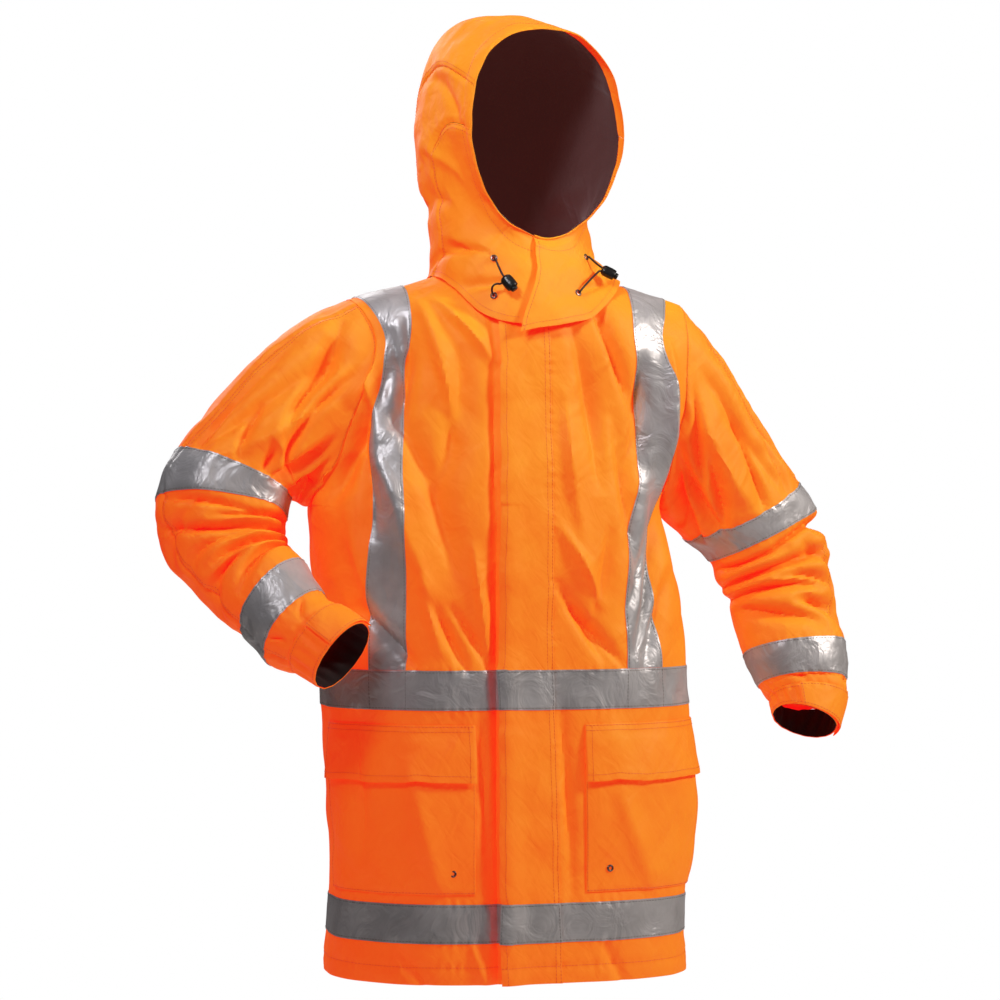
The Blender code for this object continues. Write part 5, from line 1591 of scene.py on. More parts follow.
@dataclass
class BodyPanels:
    """The two fronts and the back, the storm flap, pockets, tapes and braces."""

    sewing: Sewing
    form: BodyForm
    front_pitch: float = 4.3 * MM
    back_pitch: float = 6.4 * MM
    flap_top_lift: Row = (3.4 * MM, 2.9 * MM, 2.2 * MM, 1.4 * MM, 0.32 * MM)
    flap_loose: Row = (8.5 * MM, 8.0 * MM, 4.0 * MM, 1.6 * MM)
    flap_top: float = 19.0
    hem_inset: float = 22.0 * MM
    edge_inset: float = 2.2 * MM
    second_inset: float = 8.5 * MM
    pocket_fullness: float = 6.5 * MM
    pocket_flap_lift: float = 5.0 * MM
    hem_rows: tuple[int, int] = (1, 2)
    waist_rows: tuple[int, int] = (8, 9)
    pocket_rows: tuple[int, int] = (3, 6)
    pocket_flap_rows: tuple[int, int] = (5, 7)
    flap_columns: tuple[int, int] = (-2, 2)
    pocket_columns: tuple[int, int] = (3, 10)
    brace_columns: tuple[int, int] = (6, 8)
    shoulder_blend: int = 3
    flap_waver: float = 0.9 * MM
    flap_waves: Row = (2.3, 5.1)
    hem_fold: float = 0.4
    front: Grid = field(init=False)
    back: Grid = field(init=False)

    def __post_init__(self) -> None:
        """Lay out the two master surfaces."""
        self.front = self.form.master(Face.FRONT, self.front_pitch)
        self.back = self.form.master(Face.BACK, self.back_pitch)
        line = self.form.side_line
        pull = self.sewing.seam_pull
        rows = [Seam("row", at, -line, line) for at in self.hem_rows + self.waist_rows]
        rows.append(Seam("row", self.hem_fold, -line, line, 0.5 * SEAM_GROOVE))
        rows.append(Seam("column", self.flap_columns[1], 0.0, self.flap_top))
        self.front = self.front.raised(seam_relief(self.front, rows, pull))
        self.back = self.back.raised(seam_relief(self.back, rows[:-1], pull))

    def panels(self) -> None:
        """The two fronts and the back."""
        top = self.form.top_row
        line = self.form.side_line
        fronts = ((Side.RIGHT, (-line, 0)), (Side.LEFT, (0, line)))
        for side, columns in fronts:
            grid = self.front.cut((0, top), columns)
            self.sewing.mark(grid, (Edge.LOW,), self.hem_inset)
            self.sewing.cloth(Shell(grid, 0.0, CLOTH), "front_" + side.word, "hung")
        grid = self.back.cut((0, top), (-line, line))
        self.sewing.mark(grid, (Edge.LOW,), self.hem_inset)
        self.sewing.cloth(Shell(grid, 0.0, CLOTH), "back", "hung")

    def flap_lift(self, columns: Array) -> Array:
        """How far the storm flap stands off the fronts, by column."""
        return np.interp(columns, (-2.0, -1.0, 0.0, 1.0, 2.0), self.flap_top_lift)

    def storm_flap(self) -> None:
        """The storm flap, sewn along the left and loose along the right, with its two bands."""
        grid = self.front.cut((0, self.flap_top), self.flap_columns)
        under = self.flap_lift(grid.columns)[None, :] + 0.0 * grid.rows[:, None]
        slow, quick = self.flap_waves
        swell = np.sin(grid.rows * slow)[:, None] + 0.6 * np.sin(grid.rows * quick + 1.0)[:, None]
        free = clamp(-grid.columns / 2.0)[None, :] ** 2
        loose = np.interp(grid.rows, (0.0, 8.5, 12.0, self.flap_top), self.flap_loose)[:, None]
        under = under + (loose + self.flap_waver * (1.0 + swell)) * free
        face = grid.raised(under + CLOTH)
        self.sewing.mark(face, (Edge.LAST,), self.edge_inset, self.second_inset)
        self.sewing.mark(face, (Edge.FIRST,), self.second_inset)
        self.sewing.mark(face, (Edge.LOW,), self.hem_inset)
        self.sewing.cloth(Shell(grid, under + CLOTH, CLOTH), "storm_flap", "hung")
        for name, rows in (("waist_tape_flap", self.waist_rows),
                           ("hem_tape_flap", self.hem_rows)):
            part = grid.cut(rows, self.flap_columns)
            lift = under[between(grid.rows, rows)] + CLOTH + GAP
            self.sewing.band(Shell(part, lift + TAPE, TAPE), name, "storm_flap", tuple(Edge))

    def bands(self) -> None:
        """The waist and hem bands round the fronts and the back."""
        line = self.form.side_line
        for name, rows in (("waist_tape", self.waist_rows), ("hem_tape", self.hem_rows)):
            for word, grid, columns, node in (
                ("right", self.front, (-line, -1), "front_right"),
                ("left", self.front, (2, line), "front_left"),
                ("back", self.back, (-line, line), "back"),
            ):
                part = grid.cut(rows, columns)
                shell = Shell(part, GAP + TAPE, TAPE)
                self.sewing.band(shell, f"{name}_{word}", node)
                if rows == self.waist_rows and grid is self.front:
                    self.joints(part.raised(shell.outer))

    def joints(self, face: Grid) -> None:
        """Mark the stitches where the waist band catches the two edges of a brace."""
        sign = 1.0 if face.columns[-1] > self.flap_columns[1] else -1.0
        for column in self.brace_columns:
            across = np.full(len(face.rows), sign * column)
            self.sewing.tape_runs.append(face.along(face.rows, across))

    def brace_grid(self, side: Side) -> Grid:
        """A brace's own grid: up the front and, past the shoulder, down the back."""
        sign = side.value
        columns = sorted(sign * column for column in self.brace_columns)
        waist_top = self.waist_rows[1]
        top = self.form.top_row
        front = self.front.cut((waist_top, top), columns)
        rows = self.back.rows[between(self.back.rows, (waist_top, top))][::-1][1:]
        points, normals = self.back.across(rows, front.columns)
        points = np.concatenate([front.points, points])
        normals = np.concatenate([front.normals, normals])
        order = np.concatenate([front.rows, 2 * top - rows])
        smooth = Grid(points, order, front.columns, normals).normals.copy()
        low = len(front.rows) - 1 - self.shoulder_blend
        high = low + 2 * self.shoulder_blend + 1
        for _ in range(self.shoulder_blend):
            smooth[low:high] = unit(sum(smooth[low + k:high + k] for k in (-1, 0, 1)))
        return Grid(points, order, front.columns, normals=smooth)

    def braces(self) -> None:
        """The two braces over the shoulders."""
        for side in Side:
            grid = self.brace_grid(side)
            shell = Shell(grid, GAP + TAPE, TAPE)
            self.sewing.band(shell, "brace_tape_" + side.word, "front_" + side.word,
                             (Edge.FIRST, Edge.LAST))

    def pocket_lift(self, grid: Grid, side: Side) -> Array:
        """Outer face of a pocket over the front: a soft dome that falls to its sewn edges."""
        low, high = self.pocket_columns
        across = clamp((np.abs(grid.columns) - low) / (high - low))
        upward = clamp((grid.rows - 3.0) / 3.0)
        dome = np.sin(math.pi * across)[None, :] ** 0.6 * np.sin(math.pi * upward)[:, None] ** 0.6
        return GAP + CLOTH + self.pocket_fullness * dome

    def pockets(self) -> None:
        """The two patch pockets and their flaps."""
        for side in Side:
            sign = side.value
            columns = sorted(sign * column for column in self.pocket_columns)
            grid = self.front.cut(self.pocket_rows, columns)
            outer = self.pocket_lift(grid, side)
            node = "front_" + side.word
            self.sewing.mark(grid.raised(outer), (Edge.FIRST, Edge.LAST, Edge.LOW),
                             self.edge_inset)
            self.sewing.cloth(Shell(grid, outer, CLOTH), "pocket_" + side.word, "laid",
                              rests_on=node)
            part = self.front.cut(self.pocket_flap_rows, columns)
            over = self.pocket_lift(part, side) + GAP
            top_share = clamp(part.rows - 6.0)[:, None]
            low_share = clamp(6.0 - part.rows)[:, None]
            inner = over * (1.0 - top_share) + GAP * top_share
            inner = inner + self.pocket_flap_lift * low_share
            face = part.raised(inner + CLOTH)
            self.sewing.mark(face, (Edge.HIGH,), self.edge_inset, self.second_inset)
            self.sewing.mark(face, (Edge.FIRST, Edge.LAST, Edge.LOW), self.second_inset)
            self.sewing.cloth(Shell(part, inner + CLOTH, CLOTH), "pocket_flap_" + side.word,
                              "laid", rests_on=node)

    def build(self) -> None:
        """Make every piece of the body."""
        self.panels()
        self.storm_flap()
        self.bands()
        self.braces()
        self.pockets()
        self.sewing.sew("body")


@dataclass
class Sleeve:
    """A sleeve with its two bands, gathered cuff, cuff lining and cuff tab."""

    sewing: Sewing
    body: BodyPanels
    side: Side
    pitch: float = 4.2 * MM
    columns: int = 160
    outer_seam: float = 157.4
    under_seam: float = 337.4
    gather_depth: float = 3.0 * MM
    tab_lift: float = 2.4 * MM
    tab_degrees: dict = each(Side, (-11.25, 90.0), (67.5, 191.25))
    edge_inset: float = 2.5 * MM
    second_inset: float = 8.0 * MM
    cuff_inset: float = 4.0 * MM
    tab_inset: float = 3.0 * MM
    folds: int = 16

    def master(self) -> tuple[SleeveForm, Grid]:
        """The sleeve's form and fine grid."""
        form = SleeveForm(self.side)
        marks = [float(k) for k in range(10)]
        outer = form.line("out", np.array(marks))
        lengths = np.maximum(spans(outer, 0), 0.02)
        stations = subdivide(marks, lengths, self.pitch)
        degrees = np.arange(self.columns) * 360.0 / self.columns
        body = self.body

        def armhole(angles: Array) -> Array:
            return form.armhole(angles, body.front, body.back, body.form)

        grid = form.master(armhole, stations, degrees)
        grooves = {3.0: 0.0, 4.0: 0.0, 7.0: 0.0, 8.0: 0.0, 0.0: 0.5 * SEAM_GROOVE,
                   9.0: SEAM_GROOVE}
        seams = [Seam("row", at, 0.0, 360.0, groove) for at, groove in grooves.items()]
        seams.append(Seam("column", self.outer_seam, 0.0, 9.0, SEAM_GROOVE))
        return form, grid.raised(seam_relief(grid, seams, self.sewing.seam_pull))

    def cuff_grid(self, form: SleeveForm, sleeve: Grid) -> Grid:
        """The cuff: rings from the sleeve's last one, drawn in between even folds."""
        stations = np.linspace(9.0, 10.0, 13)
        points = form.rings(stations, sleeve.columns)
        bend = sleeve.points[-1] - points[0]
        share = clamp(1.0 - (stations - 9.0) / 0.3)
        points = points + bend[None] * share[:, None, None]
        outward = points - points.mean(axis=1, keepdims=True)
        plain = Grid(points, stations, sleeve.columns, outward, closed=True)
        fold = 360.0 / self.folds
        wave = 0.5 - 0.5 * np.cos(2.0 * math.pi * sleeve.columns / fold)
        start, end = self.tab_degrees[self.side]
        middle = 0.5 * (start + end)
        half = 0.5 * (end - start)
        away = np.abs((sleeve.columns - middle + 180.0) % 360.0 - 180.0)
        free = clamp((away - half) / 8.0)
        ease = clamp((stations - 9.0) / 0.25)
        ease = ease * np.clip((10.0 - stations) / 0.4, 0.2, 1.0)
        return plain.raised(-self.gather_depth * wave[None, :] * free[None, :] * ease[:, None])

    def build(self) -> None:
        """Make the sleeve and everything sewn to it."""
        word = self.side.word
        form, grid = self.master()
        whole = grid.opened()
        ahead = (whole.columns[:-1] < self.outer_seam) | (whole.columns[:-1] > self.under_seam)
        cells = np.broadcast_to(ahead, (len(whole.rows) - 1, len(ahead)))
        front = whole.cut((0.0, 9.0), (0.0, self.outer_seam + 0.2))
        self.sewing.mark(front, (Edge.LOW, Edge.LAST), self.edge_inset)
        self.sewing.mark(front, (Edge.LAST,), self.second_inset)
        for name, mask in (("front", cells), ("back", ~cells)):
            shell = Shell(grid, 0.0, CLOTH, mask)
            self.sewing.cloth(shell, f"sleeve_{name}_{word}", "hung")
        for name, rows in (("upper", (3, 4)), ("lower", (7, 8))):
            keep = between(grid.rows, rows)
            part = Grid(grid.points[keep], grid.rows[keep], grid.columns, grid.normals[keep],
                        closed=True)
            self.sewing.band(Shell(part, GAP + TAPE, TAPE), f"sleeve_tape_{name}_{word}",
                             "sleeve_front_" + word)
        cuff = self.cuff_grid(form, grid)
        self.sewing.cloth(Shell(cuff, 0.0, CLOTH), "cuff_" + word, "gathered")
        inside = Shell(cuff, -(CLOTH + GAP), LINING)
        self.sewing.cloth(inside, "cuff_lining_" + word, "gathered",
                          self.sewing.finishes.cuff_lining, "dark_lining")
        self.sewing.mark(cuff.opened(), (Edge.LOW, Edge.HIGH), self.cuff_inset)
        self.tab(cuff)
        self.sewing.sew("sleeve_" + word)

    def tab(self, cuff: Grid) -> None:
        """The cuff's flat tab over its front."""
        word = self.side.word
        degrees = np.linspace(*self.tab_degrees[self.side], 61)
        points, normals = cuff.opened().across(cuff.rows, degrees % 360.0)
        grid = Grid(points, cuff.rows, degrees, normals)
        outer = GAP + CLOTH + self.tab_lift
        self.sewing.mark(grid.raised(outer), tuple(Edge), self.tab_inset)
        self.sewing.cloth(Shell(grid, outer, CLOTH), "cuff_tab_" + word, "laid",
                          rests_on="cuff_" + word)


@dataclass
class Hood:
    """The hood: two crossed fronts, the back, the crown and the lining."""

    sewing: Sewing
    form: HoodForm
    pitch: float = 4.2 * MM
    lining_pitch: float = 7.5 * MM
    rings: tuple[int, int] = (0, 13)
    right_columns: tuple[int, int] = (-6, 1)
    left_columns: tuple[int, int] = (-1, 6)
    back_columns: tuple[int, int] = (6, 18)
    crown_rings: tuple[int, int] = (6, 13)
    crown_columns: tuple[int, int] = (8, 16)
    lining_rings: tuple[float, float] = (1, 12.5)
    wing_columns: Row = (-1.0, 0.0, 1.0, 2.0, 3.0)
    wing_lift: Row = (6.5 * MM, 5.0 * MM, 3.4 * MM, 1.4 * MM, 0.0)
    wing_settle: tuple[float, float] = (3.5, 0.3)
    drop_columns: Row = (-1.0, -0.4, 1.5)
    wing_drop: Row = (13.0 * MM, 10.0 * MM, 0.0)
    drop_rings: float = 1.5
    drop_back: float = 0.45
    edge_inset: float = 2.2 * MM
    second_inset: float = 8.0 * MM
    wing_inset: float = 5.0 * MM
    channel_inset: float = 24.0 * MM

    def panel(self, rings: tuple[float, float], columns: tuple[float, float],
              closed: bool = False) -> Grid:
        """The surface over some rings and columns; a closed one is the plainer lining."""
        marks_r = np.arange(rings[0], math.floor(rings[1]) + 1.0)
        if rings[1] > marks_r[-1]:
            marks_r = np.append(marks_r, rings[1])
        marks_c = np.arange(columns[0], columns[1] + 1.0)
        plain = self.form.points(marks_r, marks_c)
        fine_r, fine_c = lattice(plain, marks_r, marks_c,
                                 self.lining_pitch if closed else self.pitch)
        return self.form.grid(fine_r, fine_c[:-1] if closed else fine_c, closed)

    def mark(self, face: Grid, low: Sequence[float] = (), high: Sequence[float] = (),
             first: Sequence[float] = (), last: Sequence[float] = ()) -> None:
        """Mark stitches on a piece; each argument holds the insets beside one edge."""
        for edge, insets in ((Edge.FIRST, first), (Edge.LOW, low), (Edge.HIGH, high),
                             (Edge.LAST, last)):
            self.sewing.mark(face, (edge,), *insets)

    def wing(self, left: Grid) -> Array:
        """Let the left front's crossing edge sink at the hem.

        Args:
            left: The left front's surface, whose points are moved.

        Returns:
            How far it stands off, over the grid.
        """
        reach, least = self.wing_settle
        lift = np.interp(left.columns, self.wing_columns, self.wing_lift)[None, :]
        drop = np.interp(left.columns, self.drop_columns, self.wing_drop)[None, :]
        drop = drop * clamp(1.0 - left.rows / self.drop_rings)[:, None]
        left.points[..., 2] -= drop
        left.points[..., 1] -= self.drop_back * drop
        return lift * np.clip((self.form.rim_ring - left.rows) / reach, least, 1.0)[:, None]

    def build(self) -> None:
        """Make the hood's pieces."""
        hem = (self.second_inset,)
        seam = (self.edge_inset, self.second_inset)
        channel = (self.channel_inset,)
        right = self.panel(self.rings, self.right_columns)
        self.mark(right, first=seam)
        clear = (self.right_columns[0], self.left_columns[0])
        self.mark(right.cut(self.rings, clear), low=hem, high=channel)
        self.sewing.cloth(Shell(right, 0.0, CLOTH), "hood_front_right", "hung")
        left = self.panel(self.rings, self.left_columns)
        lift = self.wing(left)
        self.mark(left.raised(lift), hem, channel, (self.wing_inset,), seam)
        self.sewing.cloth(Shell(left, lift, CLOTH), "hood_front_left", "hung")
        crown = self.panel(self.crown_rings, self.crown_columns)
        self.mark(crown, seam, channel, seam, seam)
        self.sewing.cloth(Shell(crown, 0.0, CLOTH), "hood_crown", "hung")
        back = self.panel(self.rings, self.back_columns)
        self.mark(back, low=hem)
        r = back.rows
        c = back.columns
        first, last = self.crown_columns
        cells = ~((r[:-1, None] > self.crown_rings[0] - TINY) & (c[None, :-1] > first - TINY)
                  & (c[None, 1:] < last + TINY))
        self.sewing.cloth(Shell(back, 0.0, CLOTH, cells), "hood_back", "hung")
        lining = self.panel(self.lining_rings, (0, self.form.count), closed=True)
        self.sewing.cloth(Shell(lining, -(CLOTH + GAP), LINING), "hood_lining", "hung",
                          self.sewing.finishes.lining, "dark_lining")
        self.sewing.sew("hood")


# --- Hardware ---

def node_points(frame: dict, name: str) -> Array:
    """The vertices of a solid, as rows of X, Y, Z."""
    mesh = frame["nodes"][name].data
    points = np.empty(3 * len(mesh.vertices), dtype=np.float32)
    mesh.vertices.foreach_get("co", points)
    return points.reshape(-1, 3).astype(float)


@dataclass
class Turned:
    """A turned form: a profile of radius and height swept about an axis, flattened one way."""

    centre: Array
    axis: Array
    profile: tuple[tuple[float, float], ...]
    face: Array | None = None
    flatness: float = 1.0
    steps: int = 48
    ribs: int = 0
    rib_depth: float = 0.0
    rib_span: tuple[float, float] = (0.0, 0.0)

    def build(self, name: str, finish: Material) -> Item:
        """Make the form.

        A point lies at the centre, plus its height along the axis, plus its radius times the
        cosine and sine of the turn along two directions square to the axis, the second one
        scaled by the flatness.

        Args:
            name: The object's name.
            finish: Its material.

        Returns:
            The new object.
        """
        axis = unit(np.asarray(self.axis, float))
        guide = np.array([0.0, 0.0, 1.0]) if self.face is None else np.asarray(self.face, float)
        if abs(float(guide @ axis)) > 0.95:
            guide = np.array([1.0, 0.0, 0.0])
        across = unit(np.cross(axis, guide))
        deep = np.cross(across, axis)
        turn = np.arange(self.steps) * 2.0 * math.pi / self.steps
        radius = np.array([row[0] for row in self.profile])[:, None] + 0.0 * turn[None, :]
        height = np.array([row[1] for row in self.profile])[:, None] + 0.0 * turn[None, :]
        if self.ribs:
            low, high = self.rib_span
            on = (height >= low) & (height <= high)
            radius = radius - on * self.rib_depth * (0.5 + 0.5 * np.cos(self.ribs * turn))
        points = (np.asarray(self.centre, float) + height[..., None] * axis
                  + (radius * np.cos(turn))[..., None] * across
                  + (radius * np.sin(turn))[..., None] * self.flatness * deep)
        rows, columns = radius.shape
        i, j = np.meshgrid(np.arange(rows - 1), np.arange(columns), indexing="ij")
        k = (j + 1) % columns
        faces = np.stack([i * columns + j, (i + 1) * columns + j,
                          (i + 1) * columns + k, i * columns + k], axis=-1).reshape(-1, 4)
        if np.linalg.det(np.stack([across, deep, axis])) < 0.0:
            faces = faces[:, ::-1]
        uv = np.stack([turn[None, :] * radius, height], axis=-1).reshape(-1, 2)
        return new_mesh(name, points.reshape(-1, 3), faces, finish, uv, 40.0)


def rounded(profile: Sequence[tuple[float, float]], steps: int = 4,
            share: float = 0.28) -> tuple[tuple[float, float], ...]:
    """A profile with its corners rounded by short curves.

    Each corner is replaced by a quadratic curve between points at a share of its two sides.

    Args:
        profile: Corners as radius and height, in millimetres.
        steps: Spans of each curve.
        share: How far along each side the curve starts.

    Returns:
        The rounded profile, in metres.
    """
    line = np.array(profile, float) / PER_METRE
    out = [line[0]]
    for before, corner, after in zip(line, line[1:], line[2:]):
        start = corner + share * (before - corner)
        end = corner + share * (after - corner)
        for t in np.linspace(0.0, 1.0, steps + 1):
            out.append((1 - t) ** 2 * start + 2 * t * (1 - t) * corner + t ** 2 * end)
    out.append(line[-1])
    return tuple((float(radius), float(height)) for radius, height in out)


@dataclass
class Hardware:
    """Eyelets, drawcords and cord locks; profiles and cord routes are in millimetres."""

    frame: dict
    sewing: Sewing
    eyelet_profile: tuple[tuple[float, float], ...] = (
        (2.0, 0.0), (2.0, 0.75), (2.9, 1.1), (4.2, 0.8),
        (4.6, 0.0),
    )
    barrel_profile: tuple[tuple[float, float], ...] = (
        (0.0, -9.2), (5.0, -9.2), (7.9, -6.0), (8.1, 4.0),
        (7.4, 9.2), (5.7, 9.2), (5.6, -3.0), (0.0, -3.0),
    )
    button_profile: tuple[tuple[float, float], ...] = (
        (0.0, 0.6), (4.8, 0.6), (4.8, 12.2), (3.6, 13.6),
        (0.0, 13.2),
    )
    lock_place: dict = each(Side, (-0.0265, -0.1335, 0.0108), (0.1150, -0.0810, 0.0288))
    lock_axis: dict = each(Side, (0.537, -0.391, -0.748), (0.869, -0.185, -0.459))
    lock_face: dict = each(Side, (-0.258, -0.920, 0.296), (0.213, -0.698, 0.683))
    lock_flatness: float = 0.80
    cord_diameter: float = 2.6 * MM
    cord_routes: dict = each(
        Side, (
            ((-40.7, -111.8, 42.9), (-40.5, -114.6, 42), (-39.2, -117.8, 38.5),
             (-37.6, -120.8, 33.2), (-35.6, -124.6, 26.8), (-33.6, -127.8, 21.3),
             (-31.7, -129.7, 18.1)),
            ((-43.9, -124.6, -5.4), (-45.4, -127, -4), (-47, -129.2, -0.2), (-46.8, -130.8, 4.4),
             (-44, -131.6, 7.7), (-40.2, -131.7, 8.7), (-36.3, -131.4, 8.8)),
        ), (
            ((88.9, -74.4, 48.8), (91, -75.7, 48.4), (94.4, -76.5, 45.5), (98.8, -77, 41.5),
             (103.4, -77.4, 37.7), (107.6, -77.7, 34.7)),
            ((69, -112.6, 0.4), (70.8, -114.8, 2.4), (76.2, -111.2, 8.2), (83.6, -104, 14.8),
             (91.2, -95.3, 21.2), (98.8, -87.1, 27), (103.4, -82.7, 30.1)),
        ))

    def eyelets(self) -> None:
        """The four hood eyelets and the two pocket drain eyelets."""
        names = [f"eyelet_{side.word}_{row}" for side in Side for row in ("upper", "lower")]
        names += ["drain_eyelet_" + side.word for side in Side]
        for name in names:
            points = node_points(self.frame, name)
            middle = points.mean(axis=0)
            axis = np.linalg.svd(points - middle, full_matrices=False)[2][2]
            axis = axis * -np.sign(axis[1])
            low = ((points - middle) @ axis).min()
            made = Turned(middle + low * axis, axis, rounded(self.eyelet_profile, 3),
                          steps=40).build(name + "_ring", self.sewing.finishes.plated)
            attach(made, BODY)
            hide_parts(name)

    def cord(self, side: Side) -> None:
        """One drawcord: out of the upper eyelet, through the lock and back to the lower one.

        The cord is one smooth curve through both routes, with a short turn inside the barrel.
        """
        upper, lower = (np.array(part) / PER_METRE for part in self.cord_routes[side])
        axis = unit(np.array(self.lock_axis[side]))
        inside = np.array(self.lock_place[side]) - 0.0045 * axis
        route = np.concatenate([upper, inside[None], lower[::-1]])
        fine = smooth_line(route, 8)
        data = bpy.data.curves.new(f"drawcord_{side.word}", "CURVE")
        data.dimensions = "3D"
        data.bevel_depth = 0.5 * self.cord_diameter
        data.bevel_resolution = 5
        data.use_fill_caps = True
        spline = data.splines.new("POLY")
        spline.points.add(len(fine) - 1)
        spline.points.foreach_set("co", np.concatenate(
            [fine, np.ones((len(fine), 1))], axis=1).astype(np.float32).ravel())
        spline.use_smooth = True
        data.materials.append(self.sewing.finishes.cord)
        made = new_object(f"drawcord_{side.word}", data)
        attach(made, BODY)
        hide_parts(f"cord_{side.word}_upper", f"cord_{side.word}_lower")
        length = float(spans(fine, 0).sum())
        LOG.info("cord %s: length %.4f m", side.word, length)

    def lock(self, side: Side) -> None:
        """A cord lock's barrel and its sprung button."""
        place = self.lock_place[side]
        axis = self.lock_axis[side]
        face = self.lock_face[side]
        barrel = Turned(place, axis, rounded(self.barrel_profile), face, self.lock_flatness,
                        steps=72, ribs=18, rib_depth=0.25 * MM,
                        rib_span=(-5.0 * MM, 3.0 * MM))
        button = Turned(place, axis, rounded(self.button_profile), face, self.lock_flatness)
        for form, node, ending, body in (
            (barrel, "lock_barrel_" + side.word, "_shell", BODY),
            (button, "lock_button_" + side.word, "_cap", "button_" + side.word),
        ):
            made = form.build(node + ending, self.sewing.finishes.moulded)
            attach(made, body)
            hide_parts(node)

    def build(self) -> None:
        """Make all of it."""
        self.eyelets()
        for side in Side:
            self.cord(side)
            self.lock(side)


def smooth_line(points: Array, steps: int) -> Array:
    """A Catmull-Rom curve through points.

    Between two points it is the cubic whose slope at each is half the step from its neighbour
    before to its neighbour after.

    Args:
        points: The points it passes through.
        steps: Spans between neighbouring points.

    Returns:
        Points along the curve.
    """
    ends = np.concatenate([points[:1], points, points[-1:]])
    t = np.linspace(0.0, 1.0, steps, endpoint=False)[None, :, None]
    before, start, end, after = (ends[k:len(points) - 1 + k][:, None] for k in range(4))
    slope_a = 0.5 * (end - before)
    slope_b = 0.5 * (after - start)
    curve = ((1 + 2 * t) * (1 - t) ** 2 * start + t ** 2 * (3 - 2 * t) * end
             + t * (1 - t) ** 2 * slope_a + t ** 2 * (t - 1) * slope_b)
    return np.concatenate([curve.reshape(-1, 3), points[-1:]])


# --- Studio ---

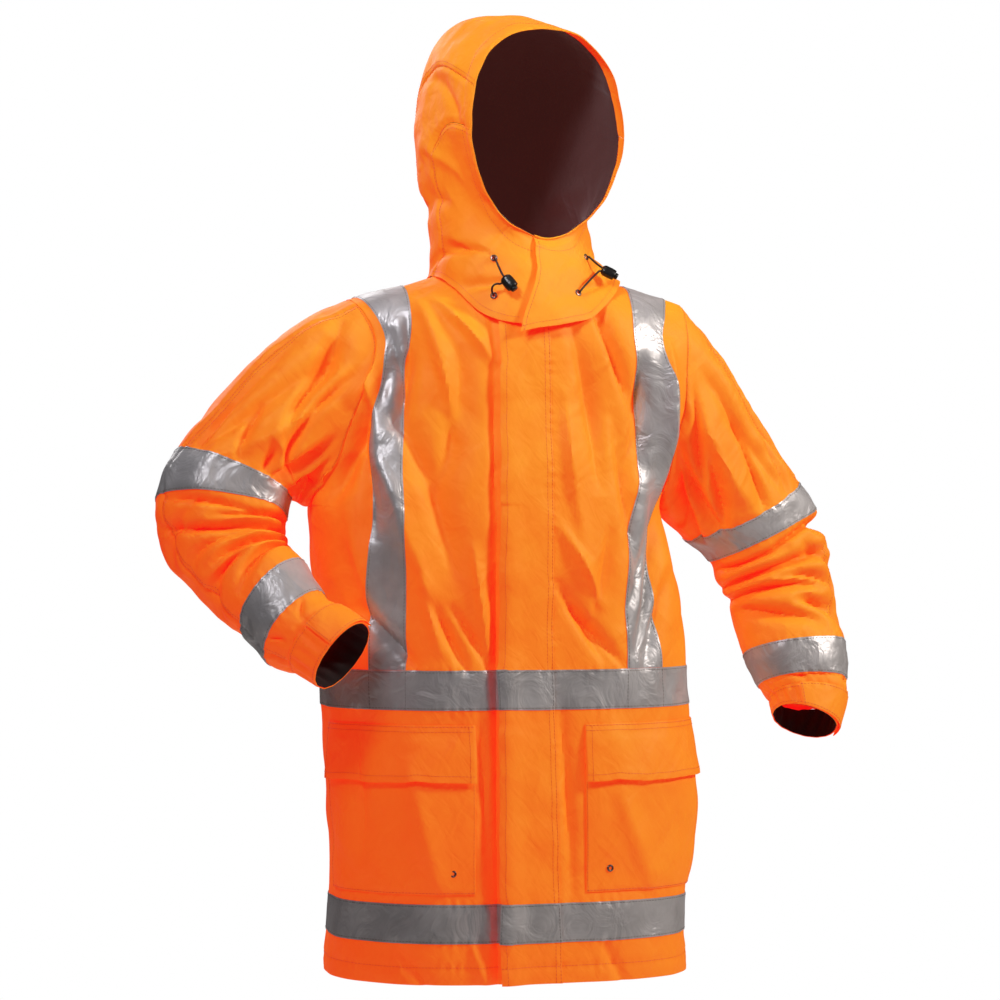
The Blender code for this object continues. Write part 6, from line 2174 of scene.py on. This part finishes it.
@dataclass
class Studio:
    """Camera, lights, surroundings and floor of a soft product studio."""

    camera_place: tuple[float, float, float] = (-0.882, -4.106, -0.2625)
    camera_turn: float = -12.0
    lens: float = 116.64
    sensor: float = 36.0
    floor_height: float = -1.45
    floor_radius: float = 2.4
    floor_glow: float = 0.10
    surround: float = 0.03

    def camera(self) -> None:
        """A long lens level with the middle of the jacket."""
        data = bpy.data.cameras.new("camera")
        data.lens = self.lens
        data.sensor_width = self.sensor
        data.clip_end = 300.0
        made = new_object("camera", data)
        made.location = self.camera_place
        made.rotation_euler = (math.radians(90.0), 0.0, math.radians(self.camera_turn))
        bpy.context.scene.camera = made

    def light(self, name: str, place: tuple[float, float, float], size: tuple[float, float],
              power: float, colour: str, target: tuple[float, float, float],
              spread: float = 180.0) -> None:
        """A rectangular soft light turned to a target."""
        data = bpy.data.lights.new(name, "AREA")
        data.shape = "RECTANGLE"
        data.size, data.size_y = size
        data.energy = power
        data.spread = math.radians(spread)
        data.color = linear(colour)[:3]
        made = new_object(name, data)
        heading = unit(np.array(target) - np.array(place))
        flat = math.hypot(heading[0], heading[1])
        made.location = place
        made.rotation_euler = (math.atan2(flat, -heading[2]), 0.0,
                               math.atan2(-heading[0], heading[1]))

    def lights(self) -> None:
        """A near key from the wearer's left and above, and weak fills all round."""
        middle = (0.0, 0.0, -0.25)
        self.light("key", (2.15, -1.25, 1.15), (0.45, 0.45), 60.0, "FFFAF2", middle)
        self.light("fill", (-0.95, -1.3, 1.25), (0.5, 0.5), 4.0, "F6F8FF", (-0.06, 0.0, 0.25), 62.0)
        self.light("top", (0.1, -0.3, 2.2), (1.0, 0.8), 6.0, "FFFFFF", middle)
        self.light("rear", (-0.8, 3.0, 1.4), (1.8, 1.6), 45.0, "FFFFFF", middle)

    def surroundings(self) -> None:
        """White to the camera and a soft grey to everything else."""
        world = bpy.data.worlds.new("studio")
        bpy.context.scene.world = world
        world.use_nodes = True
        tree = world.node_tree
        tree.nodes.clear()
        path = add_node(tree, "ShaderNodeLightPath")
        soft = add_node(tree, "ShaderNodeBackground", None,
                        {"Color": (0.95, 0.97, 1.0, 1.0), "Strength": self.surround})
        plain = add_node(tree, "ShaderNodeBackground", None,
                         {"Color": (1.0, 1.0, 1.0, 1.0), "Strength": 1.0})
        both = add_node(tree, "ShaderNodeMixShader", None, None,
                        {0: path.outputs["Is Camera Ray"], 1: soft.outputs["Background"],
                         2: plain.outputs["Background"]})
        add_node(tree, "ShaderNodeOutputWorld", None, None, {"Surface": both.outputs["Shader"]})

    def floor(self) -> None:
        """A round pale floor below the jacket."""
        made = Shading("pale_floor").finish(None, {
            "Base Color": linear("F4F4F4"), "Roughness": 0.9,
            "Emission Color": linear("FFFFFF"), "Emission Strength": self.floor_glow})
        profile = ((0.0, 0.0), (self.floor_radius, 0.0))
        disc = Turned(np.array([0.0, 0.0, self.floor_height]), np.array([0.0, 0.0, 1.0]),
                      profile[::-1], steps=96)
        disc.build("floor", made)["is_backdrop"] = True

    def build(self) -> None:
        """Set up the studio."""
        self.camera()
        self.lights()
        self.surroundings()
        self.floor()
        bpy.context.scene.view_settings.view_transform = "Standard"


def write_size(before: Sequence, after: Sequence) -> None:
    """Put the bounds of the frame and of the finished scene in a dict, which is thrown away.

    Args:
        before: Bounds right after loading.
        after: Bounds at the end.
    """
    def plain(value: object) -> object:
        if isinstance(value, (int, float)):
            return float(value)
        return [plain(item) for item in value]

    {"frame": plain(before), "scene": plain(after)}


def main() -> None:
    """Load the frame, dress it and finish."""
    logging.basicConfig(level=logging.INFO, format="%(message)s")
    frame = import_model()
    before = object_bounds()
    Studio().build()
    sewing = Sewing(Finishes.make())
    mesh = frame["nodes"]["front_zip"].data
    mesh.materials.clear()
    mesh.materials.append(sewing.finishes.zip_tape)
    Hardware(frame, sewing).build()
    LOG.info("hardware done")
    form = BodyForm()
    body = BodyPanels(sewing, form)
    body.build()
    LOG.info("body done")
    for side in Side:
        Sleeve(sewing, body, side).build()
    LOG.info("sleeves done")
    Hood(sewing, HoodForm(form)).build()
    LOG.info("hood done")
    write_size(before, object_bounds())


if __name__ == "__main__":
    main()
